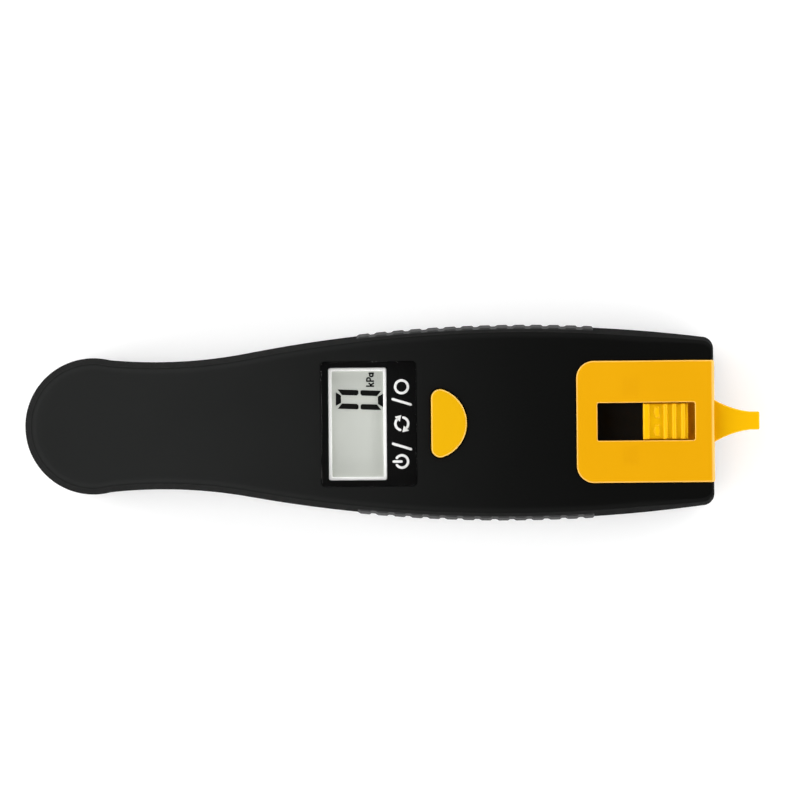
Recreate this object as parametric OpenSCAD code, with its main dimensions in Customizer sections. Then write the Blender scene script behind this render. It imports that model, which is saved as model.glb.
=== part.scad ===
// Handheld digital tyre pressure gauge with a slide-out tread depth probe.
// The housing lies along X with the probe towards +X, and rests on its back with the display facing up.

/* [Housing] */
// Length of the housing, from the rounded rear end to the flat nose
body_len = 151.5; // [150:0.5:190]
// Height of the head, from the flat back to the top face
body_h = 24; // [24:0.5:32]
// Width across the widest part of the head
belly_w = 42.4; // [40:0.2:54]
// Distance of the widest part from the nose
belly_from_nose = 43.7; // [38:0.1:50]
// Width of the waist of the handle
neck_w = 28; // [27:0.2:32]
// Distance of the waist from the rear end
neck_from_rear = 29.5; // [26:0.5:36]
// Radius of the waist's curve, seen from above
neck_r = 108; // [90:1:130]
// Width of the round rear end
end_w = 30; // [29:0.2:36]
// Radius of the nose's upright corners
nose_corner_r = 2.6; // [1.5:0.1:4]
// How far the top face falls towards the rear end
handle_drop = 4.5; // [2:0.1:6]
// Length over which the top face falls
handle_len = 62; // [50:1:70]
// Height of the parting line between the two shells
parting_z = 11; // [10:0.5:12]
// Thickness of the side walls
wall = 2; // [1.6:0.1:2.4]
// Thickness of the top wall
top_wall = 2.2; // [2:0.1:2.8]
// Thickness of the floor
floor_wall = 2; // [1.9:0.1:2.6]
// Sideways lean of the upper shell's flanks
side_draft = 1.3; // [0.6:0.1:2]
// Radius of the top edge
top_edge_r = 1.4; // [0.8:0.1:2]
// Radius of the bottom edge
bottom_edge_r = 4; // [3:0.1:4.5]

/* [Side grips] */
// Distance of the grips' front end from the nose
grip_from_nose = 26; // [20:0.5:30]
// Number of ribs on each grip
grip_ribs = 14; // [8:1:16]
// Spacing of the ribs
grip_pitch = 3.8; // [3:0.1:4.4]
// Height that a rib stands proud
rib_height = 0.35; // [0.2:0.05:0.6]
// Thickness of a grip inside its recess
grip_depth = 1; // [0.8:0.1:1.2]
// Lowest and highest edge of the grips
grip_low = 4.6; // [4.4:0.1:6]
grip_high = 17.4; // [14:0.1:19]

/* [Display] */
// Distance of the lens's rear edge from the nose
lens_from_nose = 86.4; // [84:0.1:92]
// Length of the lens along the housing
lens_len = 21; // [19:0.1:24]
// Width of the lens across the housing
lens_w = 27.4; // [26:0.1:29]
// Thickness of the lens
lens_t = 1.5; // [1:0.1:1.6]
// Corner radius of the lens
lens_r = 1; // [0.5:0.1:2]
// Length of the display window, along the housing
window_len = 12.9; // [11:0.1:14]
// Width of the display window, across the housing
window_w = 24.8; // [22:0.1:26]
// Margin between the lens's rear edge and the window
window_margin = 1.6; // [1.2:0.1:2.5]
// Visible width of the white frame round the glass
frame_rim = 0.8; // [0.5:0.1:1.2]

/* [Button] */
// Radius of the half-round button
button_r = 7.85; // [6:0.05:9.5]
// Radius of the button's two corners
button_corner_r = 2; // [1:0.1:2.5]
// Gap between the lens and the button's flat side
button_gap = 3.2; // [2.8:0.1:5]
// How far the button stands proud of the top face
button_proud = 0.6; // [0.3:0.1:1.2]
// How far the button travels
button_travel = 0.5; // [0.3:0.05:0.6]

/* [Depth gauge] */
// Length of the nose panel along the housing
panel_len = 30.3; // [29:0.1:34]
// Width of the nose panel
panel_w = 26.8; // [26:0.1:30]
// Radius of the panel's rear corners
panel_r = 3.8; // [2:0.1:5]
// How far the panel stands proud of the top face
panel_proud = 0.3; // [0:0.05:0.6]
// Length of the thumb window
slot_len = 21.4; // [20:0.1:22]
// Width of the thumb window
slot_w = 8.3; // [7:0.1:10]
// Distance from the window's front end to the nose
slot_from_nose = 4.3; // [3.8:0.1:5]
// Length of the thumb pad
pad_len = 9.9; // [8:0.1:11]
// Gap in front of the thumb pad, as it rests
pad_gap = 1.5; // [1.2:0.1:3]
// How far the probe stands out of the nose, as it rests
probe_out = 9.9; // [8:0.1:12]
// Width of the probe at the nose
probe_base_w = 9.2; // [7:0.1:10]
// Width of the probe at its tip
probe_tip_w = 4; // [3:0.1:5]
// Thickness of the probe
probe_t = 2.6; // [1.8:0.1:3]

/* [Valve socket] */
// Distance of the socket's axis from the nose
socket_from_nose = 20.5; // [18:0.1:24]
// Radius of the socket's bore, which takes a tyre valve stem
socket_r = 4.1; // [4:0.05:4.6]
// Depth of the bore's straight wall
socket_depth = 7.8; // [6:0.1:8]
// Outer radius of the nozzle
nozzle_r = 6.6; // [6:0.1:7.4]

/* [Battery bay] */
// Diameter of a cell
cell_d = 10.5; // [10.1:0.1:10.5]
// Length of a cell, with its nub
cell_len = 44.5; // [42:0.1:44.5]
// Room for a pressed contact spring
spring_room = 4.5; // [3.5:0.1:5]
// Distance of the bay's front end from the rear end
bay_front = 60.8; // [60.8:0.1:66]
// Thickness of the battery door
door_t = 1.6; // [1.4:0.1:1.7]
// How far the door lies above the resting plane
door_recess = 0.25; // [0.15:0.05:0.3]

/* [Screws] */
// Radius of a case screw's shank
screw_r = 1.1; // [0.9:0.05:1.3]
// Radius of a case screw's head
screw_head_r = 2; // [1.8:0.1:2.2]
// Depth of a case screw's counterbore
screw_recess = 4; // [3:0.1:5]

/* [Fits] */
// Gap round a piece that is only laid in
fit = 0.1; // [0.05:0.01:0.2]
// Gap round a piece that slides
slide_fit = 0.2; // [0.15:0.01:0.3]

/* [Hidden] */

black = [0.035, 0.035, 0.036];
rubber_black = [0.05, 0.05, 0.05];
yellow = [0.93, 0.62, 0.02];
steel = [0.72, 0.73, 0.75];
brass = [0.78, 0.6, 0.28];

over = 1;              // how far a cutter runs past the face that it cuts
thread_fit = 0.04;     // gap round a screw in its pilot hole
mid = (body_len + probe_out) / 2;
end_r = end_w / 2;
lens_s = body_len - lens_from_nose;
button_s = lens_s + lens_len + button_gap;
panel_s = body_len - panel_len;
slot_front = body_len - slot_from_nose;
slot_rear = slot_front - slot_len;
pad_front = slot_front - pad_gap;
pad_rear = pad_front - pad_len;
socket_s = body_len - socket_from_nose;

// Everything is drawn with its distance from the rear end along X, and moved here to the frame's origin.
module place() {
    translate([-mid, 0, 0]) children();
}

// ---------- Outline of the housing, seen from above ----------
belly_s = body_len - belly_from_nose;
belly_rise = (belly_w - neck_w) / 2;
belly_run = belly_s - neck_from_rear;
belly_r = (belly_run ^ 2 + belly_rise ^ 2) / (2 * belly_rise) - neck_r;
blend_s = neck_from_rear + belly_run * neck_r / (neck_r + belly_r);

// Half the housing's width at s from the rear end: a hollow arc at the waist, a full arc at the belly.
function half_w(s) = s < blend_s
    ? neck_w / 2 + neck_r - sqrt(neck_r ^ 2 - (s - neck_from_rear) ^ 2)
    : belly_w / 2 - belly_r + sqrt(belly_r ^ 2 - (s - belly_s) ^ 2);
function flank_slope(s) = s < blend_s
    ? (s - neck_from_rear) / sqrt(neck_r ^ 2 - (s - neck_from_rear) ^ 2)
    : -(s - belly_s) / sqrt(belly_r ^ 2 - (s - belly_s) ^ 2);

// The round end gives way to the waist where the two circles cross for the second time.
centre_dx = neck_from_rear - end_r;
centre_dy = neck_w / 2 + neck_r;
centre_gap = norm([centre_dx, centre_dy]);
chord_foot = (end_r ^ 2 - neck_r ^ 2 + centre_gap ^ 2) / (2 * centre_gap);
chord_half = sqrt(max(end_r ^ 2 - chord_foot ^ 2, 0));
cap_end = end_r + (chord_foot * centre_dx + chord_half * centre_dy) / centre_gap;
cap_angle = acos(-(cap_end - end_r) / end_r);

cap_steps = 14;
flank_steps = 30;
corner_steps = 5;
flank_start = cap_end + 1.2;
flank_end = body_len - nose_corner_r - 5;

// A point on the flank at s, moved inwards by d.
function flank_point(s, d) =
    let (m = flank_slope(s), n = sqrt(1 + m ^ 2))
    [s + d * m / n, half_w(s) - d / n];

// Half of the outline, moved inwards by d at the sides and by e at the nose, from the rear tip to the nose.
function half_outline(d, e) = concat(
    [for (i = [0:cap_steps]) let (a = cap_angle * i / cap_steps)
        [end_r - (end_r - d) * cos(a), (end_r - d) * sin(a)]],
    [for (i = [0:flank_steps]) flank_point(flank_start + (flank_end - flank_start) * i / flank_steps, d)],
    [for (i = [0:corner_steps]) let (a = 90 - 90 * i / corner_steps)
        [body_len - e - nose_corner_r + nose_corner_r * cos(a),
         half_w(body_len - nose_corner_r) - d - nose_corner_r + nose_corner_r * sin(a)]]
);
half_count = cap_steps + flank_steps + corner_steps + 3;
ring_count = 2 * half_count - 1;

// How far the top face has fallen at s.
drop_r = handle_len ^ 2 / (2 * handle_drop);
function fall(s) = s < handle_len ? (handle_len - s) ^ 2 / (2 * drop_r) : 0;

// One ring of the loft: [inset at the sides, inset at the nose, height, 1 if it follows the falling top face].
function ring(r) =
    let (h = half_outline(r[0], r[1]))
    [for (k = [0:ring_count - 1])
        let (p = k < half_count ? h[k] : [h[ring_count - k][0], -h[ring_count - k][1]])
        [p[0], p[1], r[2] - r[3] * fall(p[0])]];

// A closed solid through the rings, which go from low to high.
module loft(rings) {
    n = ring_count;
    last = (len(rings) - 1) * n;
    sides = [for (j = [0:len(rings) - 2], k = [0:n - 1])
        let (a = j * n + k, b = j * n + (k + 1) % n)
        each [[a, b, a + n], [b, b + n, a + n]]];
    base = [for (k = [0:half_count - 2]) k == 0 ? [0, n - 1, 1] : [k, n - k, n - k - 1, k + 1]];
    top = [for (f = base) [for (i = [len(f) - 1:-1:0]) f[i] + last]];
    polyhedron(points = [for (r = rings) each ring(r)], faces = concat(base, top, sides), convexity = 6);
}

nose_share = 0.25;     // the nose face leans and rounds this much less than the flanks
edge_steps = 4;

module upper_outer() {
    loft(concat(
        [[0, 0, parting_z, 0]],
        [for (i = [0:edge_steps])
            let (a = 90 * i / edge_steps, d = side_draft + top_edge_r * (1 - cos(a)))
            [d, d * nose_share, body_h - top_edge_r * (1 - sin(a)), 1]]
    ));
}

module upper_inner() {
    loft([
        [wall, wall, parting_z - over, 0],
        [wall, wall, parting_z + lip_h + 0.2, 0],
        [wall + side_draft, wall + side_draft * nose_share, body_h - top_wall - 0.6, 1],
        [wall + side_draft + 0.6, wall + side_draft * nose_share + 0.6, body_h - top_wall, 1]
    ]);
}

bottom_draft = 0.3;

module lower_outer() {
    loft(concat(
        [for (i = [0:edge_steps])
            let (a = 90 * i / edge_steps, d = bottom_draft + bottom_edge_r * (1 - sin(a)))
            [d, d * nose_share, bottom_edge_r * (1 - cos(a)), 0]],
        [[0, 0, parting_z, 0]]
    ));
}

lip_h = 1;

module lower_inner() {
    inner_edge = bottom_edge_r - floor_wall;
    loft([
        [wall + bottom_draft + inner_edge, wall + 0.5, floor_wall, 0],
        [wall + bottom_draft + 0.3 * inner_edge, wall + 0.2, floor_wall + 0.3 * inner_edge, 0],
        [wall + bottom_draft, wall, floor_wall + inner_edge, 0],
        [wall, wall, parting_z + over, 0]
    ]);
}

module slab(inset, low, high) {
    loft([[inset, inset, low, 0], [inset, inset, high, 0]]);
}

// The lower shell's lip grows from its wall below the parting line, and stands just inside the upper wall.
lip_t = 1;
module lip() {
    difference() {
        union() {
            slab(wall - 0.3, parting_z - 1.6, parting_z - 0.1);
            slab(wall + fit, parting_z - 0.5, parting_z + lip_h);
        }
        slab(wall + fit + lip_t, parting_z - 2, parting_z + lip_h + over);
    }
}

// ---------- Plain outlines ----------
function arc(c, r, from, to, n) =
    [for (i = [0:n]) let (a = from + (to - from) * i / n) [c[0] + r * cos(a), c[1] + r * sin(a)]];
function round_rect(x0, x1, w, r) = concat(
    arc([x1 - r, w / 2 - r], r, 0, 90, 6), arc([x0 + r, w / 2 - r], r, 90, 180, 6),
    arc([x0 + r, r - w / 2], r, 180, 270, 6), arc([x1 - r, r - w / 2], r, 270, 360, 6));

module bar(x0, x1, w, z0, z1) {
    translate([x0, -w / 2, z0]) cube([x1 - x0, w, z1 - z0]);
}

module plate(points, z0, z1) {
    translate([0, 0, z0]) linear_extrude(z1 - z0) polygon(points);
}

module post(s, t, r, z0, z1) {
    translate([s, t, z0]) cylinder(h = z1 - z0, r = r, $fn = 48);
}

module rod_along_x(s0, s1, t, z, r) {
    translate([s0, t, z]) rotate([0, 90, 0]) cylinder(h = s1 - s0, r = r, $fn = 32);
}

module rod_across(s, z, r, w) {
    translate([s, w / 2, z]) rotate([90, 0, 0]) cylinder(h = w, r = r, $fn = 32);
}

// ---------- Side grips ----------
grip_s1 = body_len - grip_from_nose;
grip_s0 = grip_s1 - grip_ribs * grip_pitch;
// Inset of the housing's skin at height z, between the two edge rounds.
function skin_inset(z) = z < parting_z
    ? bottom_draft * (parting_z - z) / (parting_z - bottom_edge_r)
    : side_draft * (z - parting_z) / (body_h - top_edge_r - parting_z);

// One station of a strip on the skin: outer face low to high, then inner face high to low.
function strip_station(s, proud, depth) =
    let (zs = [grip_low, parting_z, grip_high])
    concat(
        [for (z = zs) let (p = flank_point(s, skin_inset(z) - proud)) [p[0], p[1], z]],
        [for (i = [2:-1:0]) let (p = flank_point(s, skin_inset(zs[i]) + depth)) [p[0], p[1], zs[i]]]
    );

// Stations along the grip: a groove, then the flat crown of the rib.
groove_share = 0.28;
shoulder_share = 0.14;
function grip_stations(height) = [
    for (i = [0:grip_ribs - 1])
        let (s = grip_s0 + i * grip_pitch)
        each [[s, 0], [s + groove_share * grip_pitch, 0],
              [s + (groove_share + shoulder_share) * grip_pitch, height],
              [s + (1 - shoulder_share) * grip_pitch, height]],
    [grip_s1, 0]
];

module strip(stations, depth) {
    n = 6;
    count = len(stations);
    points = [for (q = stations) each strip_station(q[0], q[1], depth)];
    sides = [for (i = [0:count - 2], k = [0:n - 1])
        let (a = i * n + k, b = i * n + (k + 1) % n)
        each [[a, a + n, b], [b, a + n, b + n]]];
    polyhedron(
        points = points,
        faces = concat([[for (k = [0:n - 1]) k]], [[for (k = [n - 1:-1:0]) (count - 1) * n + k]], sides),
        convexity = 4
    );
}

module grip_recess() {
    for (side = [0, 1]) mirror([0, side, 0])
        strip([for (q = grip_stations(0)) [q[0], over]], grip_depth);
}

module grip(side) {
    color(rubber_black) place() mirror([0, side, 0]) strip(grip_stations(rib_height), grip_depth);
}

// ---------- Case screws and their bosses ----------
boss_r = 2.2;
tube_r = 3;
mid_screw_s = bay_front + 2.2;
nose_screw_s = body_len - 8.5;
nose_screw_t = 10.9;
rear_screw_s = bottom_draft + bottom_edge_r + screw_head_r + 0.3;
screw_tip = parting_z + 4;
function mid_screw_t() = half_w(mid_screw_s) - wall - boss_r - 0.1;
screw_spots = [
    [rear_screw_s, 0],
    [mid_screw_s, mid_screw_t()], [mid_screw_s, -mid_screw_t()],
    [nose_screw_s, nose_screw_t], [nose_screw_s, -nose_screw_t]
];

module case_screws() {
    color(steel) place() for (p = screw_spots) difference() {
        union() {
            post(p[0], p[1], screw_head_r, screw_recess - 1.6, screw_recess);
            post(p[0], p[1], screw_r, screw_recess - 0.1, screw_tip);
        }
        for (a = [0, 90]) translate([p[0], p[1], screw_recess - 1.6]) rotate([0, 0, a])
            cube([2.2, 0.5, 1.6], center = true);
    }
}

// ---------- Circuit board ----------
board_top = body_h - 6.4;
board_t = 1.6;
board_s0 = mid_screw_s + boss_r + 0.4;
board_s1 = panel_s - 2.2;
board_w = 26.4;
board_screw_r = 0.8;
board_spots = [for (s = [lens_s + lens_len - 2.4, board_s1 - 3], t = [-1, 1]) [s, t * (board_w / 2 - 2)]];
board_boss_r = 1.7;

module circuit_board() {
    color([0.05, 0.3, 0.14]) place() difference() {
        bar(board_s0, board_s1, board_w, board_top - board_t, board_top);
        for (p = board_spots) post(p[0], p[1], board_screw_r + fit, 0, body_h);
    }
}

module board_screws() {
    color(steel) place() for (p = board_spots) {
        post(p[0], p[1], 1.5, board_top - board_t - 1, board_top - board_t);
        post(p[0], p[1], board_screw_r, board_top - board_t - 0.1, board_top + 2.6);
    }
}

module controller_chip() {
    color([0.02, 0.02, 0.02]) place()
        bar(button_s + 1, button_s + 8, 7, board_top - board_t - 1.4, board_top - board_t);
}

// ---------- Display ----------
lens_top = body_h - 0.1;
mask_t = 0.1;
lens_bottom = lens_top - lens_t;
ledge_top = lens_bottom - mask_t;
window_s = lens_s + window_margin;
glass_s0 = window_s + frame_rim;
glass_s1 = window_s + window_len - frame_rim;
glass_w = window_w - 2 * frame_rim;
frame_top = body_h - top_wall - 0.05;
frame_lip = 0.9;       // how far the frame reaches over the edge of the glass
frame_base = 0.9;      // how far its base reaches under the upper shell

module display_lens() {
    color([0.9, 0.93, 0.95, 0.3]) place()
        plate(round_rect(lens_s, lens_s + lens_len, lens_w, lens_r), lens_bottom, lens_top);
}

module display_mask() {
    color("black") place() difference() {
        plate(round_rect(lens_s, lens_s + lens_len, lens_w, lens_r), ledge_top, lens_bottom);
        plate(round_rect(window_s, window_s + window_len, window_w, 0.6), ledge_top - over, lens_top);
    }
}

module lcd_frame() {
    color([0.95, 0.95, 0.94]) place() difference() {
        union() {
            bar(window_s - frame_base, window_s + window_len + frame_base, window_w + 2 * frame_base,
                board_top, frame_top);
            plate(round_rect(window_s, window_s + window_len, window_w, 0.5),
                frame_top - 0.1, ledge_top - 0.02);
        }
        bar(glass_s0, glass_s1, glass_w, board_top - over, body_h);
        bar(glass_s0 - frame_lip + fit, glass_s1 + frame_lip - fit, glass_w + 2 * (frame_lip - fit),
            board_top - over, frame_top - 0.6);
    }
}

panel_top = frame_top - 0.62;
panel_glass_t = 1.6;

module lcd_panel() {
    color([0.76, 0.78, 0.74]) place()
        bar(glass_s0 - frame_lip + 2 * fit, glass_s1 + frame_lip - 2 * fit, glass_w + 2 * (frame_lip - 2 * fit),
            panel_top - panel_glass_t, panel_top);
}

module backlight_panel() {
    color([0.97, 0.97, 0.95]) place()
        bar(glass_s0 + 1.4, glass_s1 + 0.5, glass_w + 1, board_top, panel_top - panel_glass_t);
}

module zebra_strip() {
    color([0.85, 0.5, 0.55]) place()
        bar(glass_s0 - 0.6, glass_s0 + 1.1, glass_w, board_top, panel_top - panel_glass_t);
}

// ---------- Button and its switch ----------
function d_outline(grow) =
    let (q = button_corner_r, y = sqrt((button_r - q) ^ 2 - q ^ 2), a = atan2(y, q))
    concat(
        arc([0, 0], button_r + grow, -a, a, 24),
        arc([q, y], q + grow, a, 180, 8),
        arc([q, -y], q + grow, 180, 360 - a, 8)
    );
button_mid = button_s + button_r / 2;
plunger_r = 1.3;
button_flange = 1;     // how far the button's flange reaches past its plate
flange_top = body_h - top_wall - 0.15;
switch_top = board_top + 1.5;
post_end = switch_top + button_travel + 0.15;
flange_bottom = flange_top - 0.9;

module button_plate(grow, z0, z1) {
    translate([button_s, 0, 0]) plate(d_outline(grow), z0, z1);
}

module power_button() {
    color(yellow) place() {
        button_plate(0, flange_top - 0.1, body_h + button_proud);
        button_plate(button_flange, flange_bottom, flange_top);
        post(button_mid, 0, 1.5, post_end, flange_bottom + 0.1);
    }
}

module tact_switch() {
    color([0.12, 0.12, 0.13]) place() difference() {
        bar(button_mid - 2.6, button_mid + 2.6, 5.2, board_top, switch_top);
        post(button_mid, 0, plunger_r + fit, switch_top - button_travel - 0.2, switch_top + over);
    }
}

module switch_plunger() {
    color([0.5, 0.1, 0.08]) place() post(button_mid, 0, plunger_r, switch_top, post_end);
}

// ---------- Pressure path ----------
seat_z = 0.8;                              // the mouth's lead-in ends here, and the straight wall starts
bore_end = seat_z + socket_depth;
seal_t = 1.4;
chamber_r = 1.8;
nozzle_top = bore_end + seal_t + 3.2;
barb_z = bore_end + seal_t + 1.2;
nozzle_flange_z = floor_wall + 3;
nozzle_flange_r = nozzle_r + 3.2;
nozzle_screw_t = nozzle_r + 1.6;
nozzle_screw_r = 0.9;
nozzle_flange_t = 1.6;
nozzle_boss_r = 1.9;
seal_r = socket_r + 0.5;
barb_r = 0.9;
hose_s0 = socket_s - nozzle_r - 13;
hose_s1 = socket_s - nozzle_r - 0.4;
sensor_s1 = hose_s0 - 1;

module valve_nozzle() {
    color(yellow) place() difference() {
        union() {
            post(socket_s, 0, nozzle_r, 0, nozzle_top);
            post(socket_s, 0, nozzle_flange_r, nozzle_flange_z, nozzle_flange_z + nozzle_flange_t);
            rod_along_x(hose_s1 - 3.2, socket_s - nozzle_r + 1, 0, barb_z, barb_r);
        }
        post(socket_s, 0, socket_r, -over, bore_end);
        translate([socket_s, 0, -0.01])
            cylinder(h = seat_z + 0.01, r1 = socket_r + 0.8, r2 = socket_r, $fn = 48);
        post(socket_s, 0, seal_r, bore_end, bore_end + seal_t);
        post(socket_s, 0, chamber_r, bore_end, bore_end + seal_t + 2);
        rod_along_x(hose_s1 - 4, socket_s, 0, barb_z, 0.4);
        for (side = [-1, 1]) post(socket_s, side * nozzle_screw_t, nozzle_screw_r + fit, nozzle_flange_z - over,
            nozzle_flange_z + nozzle_flange_t + over);
    }
}

module valve_seal() {
    color([0.08, 0.08, 0.08]) place() difference() {
        post(socket_s, 0, seal_r, bore_end, bore_end + seal_t);
        post(socket_s, 0, 2.4, bore_end - over, bore_end + seal_t + over);
    }
}

module valve_pusher() {
    pusher_end = bore_end + seal_t + 2;
    color(brass) place() {
        post(socket_s, 0, 0.8, bore_end + 0.1, pusher_end);
        translate([socket_s, 0, pusher_end - 0.6]) for (a = [45, 135]) rotate([0, 0, a])
            cube([2 * chamber_r - 0.1, 0.5, 0.6 * 2], center = true);
    }
}

module nozzle_screws() {
    color(steel) place() for (side = [-1, 1]) {
        post(socket_s, side * nozzle_screw_t, nozzle_screw_r, floor_wall - 0.4,
            nozzle_flange_z + nozzle_flange_t + 0.1);
        post(socket_s, side * nozzle_screw_t, nozzle_screw_r + 0.6, nozzle_flange_z + nozzle_flange_t,
            nozzle_flange_z + nozzle_flange_t + 1);
    }
}

module air_hose() {
    color([0.75, 0.75, 0.72]) place() difference() {
        rod_along_x(hose_s0, hose_s1, 0, barb_z, 1.8);
        rod_along_x(hose_s0 - over, hose_s1 + over, 0, barb_z, barb_r + 0.03);
    }
}

module pressure_sensor() {
    body_top = barb_z + 2;
    color([0.82, 0.82, 0.8]) place() {
        bar(sensor_s1 - 7.4, sensor_s1, 7.4, barb_z - 1.9, body_top);
        rod_along_x(sensor_s1 - 0.5, hose_s0 + 3.4, 0, barb_z, barb_r);
        for (i = [-1, 0, 1], t = [-1, 1])
            post(sensor_s1 - 3.7 + i * 2.54, t * 3, 0.25, body_top - 0.3, board_top - board_t);
    }
}

// ---------- Nose cover and depth gauge ----------
cover_top = body_h + panel_proud;
cover_under = body_h - top_wall - 0.1;
nose_wall = 1.8;
slab_top = cover_under - 0.1;
slab_bottom = slab_top - probe_t;
slab_w = 13.2;
shoulder_s = body_len - nose_wall - pad_gap - 0.1;
tray_top = slab_bottom - 0.15;
tray_t = 1.55;
tray_s0 = panel_s + 1.4;
tray_s1 = body_len - nose_wall - fit;
tray_wall = 1.3;
tray_channel_w = slab_w + 2 * slide_fit;
tray_w = tray_channel_w + 2 * tray_wall;
tray_screw_s = tray_s0 + 1.6;
tray_screw_t = 4.6;
tray_screw_r = 0.75;
cover_flange = 1;      // how far the cover's edge reaches under the upper shell
cover_flange_s = body_len - wall - 4;

// The panel's outline, grown by g at its sides and rear, and cut off straight at s.
function panel_outline(g, end) = concat(
    [[end, -panel_w / 2 - g], [end, panel_w / 2 + g]],
    arc([panel_s + panel_r, panel_w / 2 - panel_r], panel_r + g, 90, 180, 8),
    arc([panel_s + panel_r, panel_r - panel_w / 2], panel_r + g, 180, 270, 8)
);

module nose_cover() {
    color(yellow) place() difference() {
        union() {
            plate(panel_outline(0, body_len), cover_under, cover_top);
            difference() {
                plate(panel_outline(cover_flange, cover_flange_s), cover_under - 1.3, cover_under);
                plate(panel_outline(-1.3, body_len), cover_under - 2, cover_under);
            }
            bar(body_len - nose_wall, body_len, panel_w, parting_z, cover_top);
            bar(tray_s1 - 1.4, body_len - 0.5, 12, tray_top - tray_t - 1.3, tray_top - tray_t - 0.05);
            for (t = [-1, 1]) post(nose_screw_s, t * nose_screw_t, boss_r, parting_z, cover_under + 0.5);
        }
        plate(round_rect(slot_rear, slot_front, slot_w, 0.3), cover_under - over, cover_top + over);
        bar(body_len - nose_wall - over, body_len + over, probe_base_w + 2 * slide_fit,
            slab_bottom - slide_fit, slab_top + slide_fit / 2);
        for (t = [-1, 1]) {
            post(nose_screw_s, t * nose_screw_t, screw_r + thread_fit, parting_z - over, screw_tip + 0.5);
            post(tray_screw_s, t * tray_screw_t, tray_screw_r + thread_fit,
                cover_under - over, cover_under + 1.6);
        }
    }
}

module slide_tray() {
    color(black) place() difference() {
        bar(tray_s0, tray_s1, tray_w, tray_top - tray_t, cover_under);
        bar(slot_rear - 0.1, tray_s1 + over, tray_channel_w, tray_top, cover_under + over);
        bar(spring_s - spring_half - 0.4, spring_s + spring_half + 0.4, 3.6, tray_top - 0.95, tray_top + over);
        for (t = [-1, 1]) post(tray_screw_s, t * tray_screw_t, tray_screw_r + fit, 0, body_h);
    }
}

module tray_screws() {
    color(steel) place() for (t = [-1, 1]) {
        post(tray_screw_s, t * tray_screw_t, 1.4, tray_top - tray_t - 0.9, tray_top - tray_t);
        post(tray_screw_s, t * tray_screw_t, tray_screw_r, tray_top - tray_t - 0.1, cover_under + 1.4);
    }
}

// The leaf spring presses on the slider's underside, at a point that the slider covers all along its travel.
spring_s = pad_rear + 2;
spring_half = 4.4;
spring_steps = 10;
spring_t = 0.2;
spring_low = tray_top - 0.93;
spring_rise = slab_bottom - 0.03 - spring_t - spring_low;

module detent_spring() {
    function crown(u) = spring_low + spring_rise * (1 - cos(360 * u)) / 2;
    low = [for (i = [0:spring_steps]) let (u = i / spring_steps)
        [spring_s - spring_half + 2 * spring_half * u, crown(u)]];
    high = [for (i = [spring_steps:-1:0]) [low[i][0], low[i][1] + spring_t]];
    color(steel) place() translate([0, 1.5, 0]) rotate([90, 0, 0]) linear_extrude(3) polygon(concat(low, high));
}

// Half the probe's width narrows along a hollow curve, a quadratic Bezier arc, and ends in a straight tip.
flare_end = body_len + probe_out * 0.79;
flare_knee = [body_len + probe_out * 0.38, probe_tip_w * 0.62];
flare_steps = 10;
tip_r = 0.4;
function flare(u) = (1 - u) ^ 2 * [body_len + 0.1, probe_base_w / 2] + 2 * u * (1 - u) * flare_knee
    + u ^ 2 * [flare_end, probe_tip_w / 2];
function probe_half() = concat(
    [[pad_rear + 0.1, slab_w / 2], [shoulder_s, slab_w / 2], [shoulder_s, probe_base_w / 2]],
    [for (i = [0:flare_steps]) flare(i / flare_steps)],
    arc([body_len + probe_out - tip_r, probe_tip_w / 2 - tip_r], tip_r, 90, 0, 4)
);

pad_w = slot_w - 2 * slide_fit;
pad_rib_r = 0.5;
pad_ribs = 3;
pad_rib_pitch = 1.93;
pad_step = 1.4;        // length of the raised step at the pad's rear end

module depth_slider() {
    half = probe_half();
    other = [for (i = [len(half) - 1:-1:0]) [half[i][0], -half[i][1]]];
    pad_top = body_h - 0.3;
    color(yellow) place() {
        plate(concat(half, other), slab_bottom, slab_top);
        bar(pad_rear, pad_front, pad_w, slab_top - 0.2, pad_top);
        bar(pad_rear, pad_rear + pad_step, pad_w, pad_top - 0.1, pad_top + pad_rib_r);
        for (i = [0:pad_ribs - 1])
            rod_across(pad_front - 1.1 - i * pad_rib_pitch, pad_top, pad_rib_r, pad_w);
    }
}

// ---------- Battery bay ----------
cell_t = cell_d / 2 + 0.05;
door_low = door_recess;
door_high = door_recess + door_t;
cell_z = door_high + 0.35 + cell_d / 2;
contact_t = 0.4;
bay_rear = bay_front - contact_t - cell_len - spring_room;
door_half_w = cell_d + 0.4;
hinge_s = bay_front - door_t / 2 - 0.1;
hinge_z = door_low + door_t / 2;
hinge_r = 0.7;
hinge_fit = 0.05;
hinge_reach = 0.8;

module battery_door() {
    color(black) place() {
        bar(bay_rear + 0.1 + fit, hinge_s, 2 * door_half_w, door_low, door_high);
        rod_across(hinge_s, hinge_z, door_t / 2, 2 * door_half_w);
        rod_across(hinge_s, hinge_z, hinge_r, 2 * (door_half_w + hinge_reach));
    }
}

module cell(side, forward) {
    start = bay_rear + (forward ? spring_room : 0);
    body_start = start + (forward ? 0 : 1);
    color([0.75, 0.6, 0.3]) place() {
        rod_along_x(body_start, body_start + cell_len - 1, side * cell_t, cell_z, cell_d / 2);
        rod_along_x(forward ? start + cell_len - 1.2 : start, forward ? start + cell_len : start + 1.2,
            side * cell_t, cell_z, 1.9);
    }
}

// A conical contact spring from its plate at s0 to the cell's end at s1.
coil_turns = 4;
coil_steps = 12;
wire_r = 0.3;
module coil(s0, s1, t) {
    from = s0 + sign(s1 - s0) * wire_r;
    to = s1 - sign(s1 - s0) * (wire_r + 0.02);
    sweep([for (i = [0:coil_turns * coil_steps])
        let (u = i / (coil_turns * coil_steps), a = 360 * coil_turns * u, r = 3.6 - 1.4 * u)
        [from + (to - from) * u, t + r * cos(a), cell_z + r * sin(a)]], wire_r, 6);
}

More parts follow.
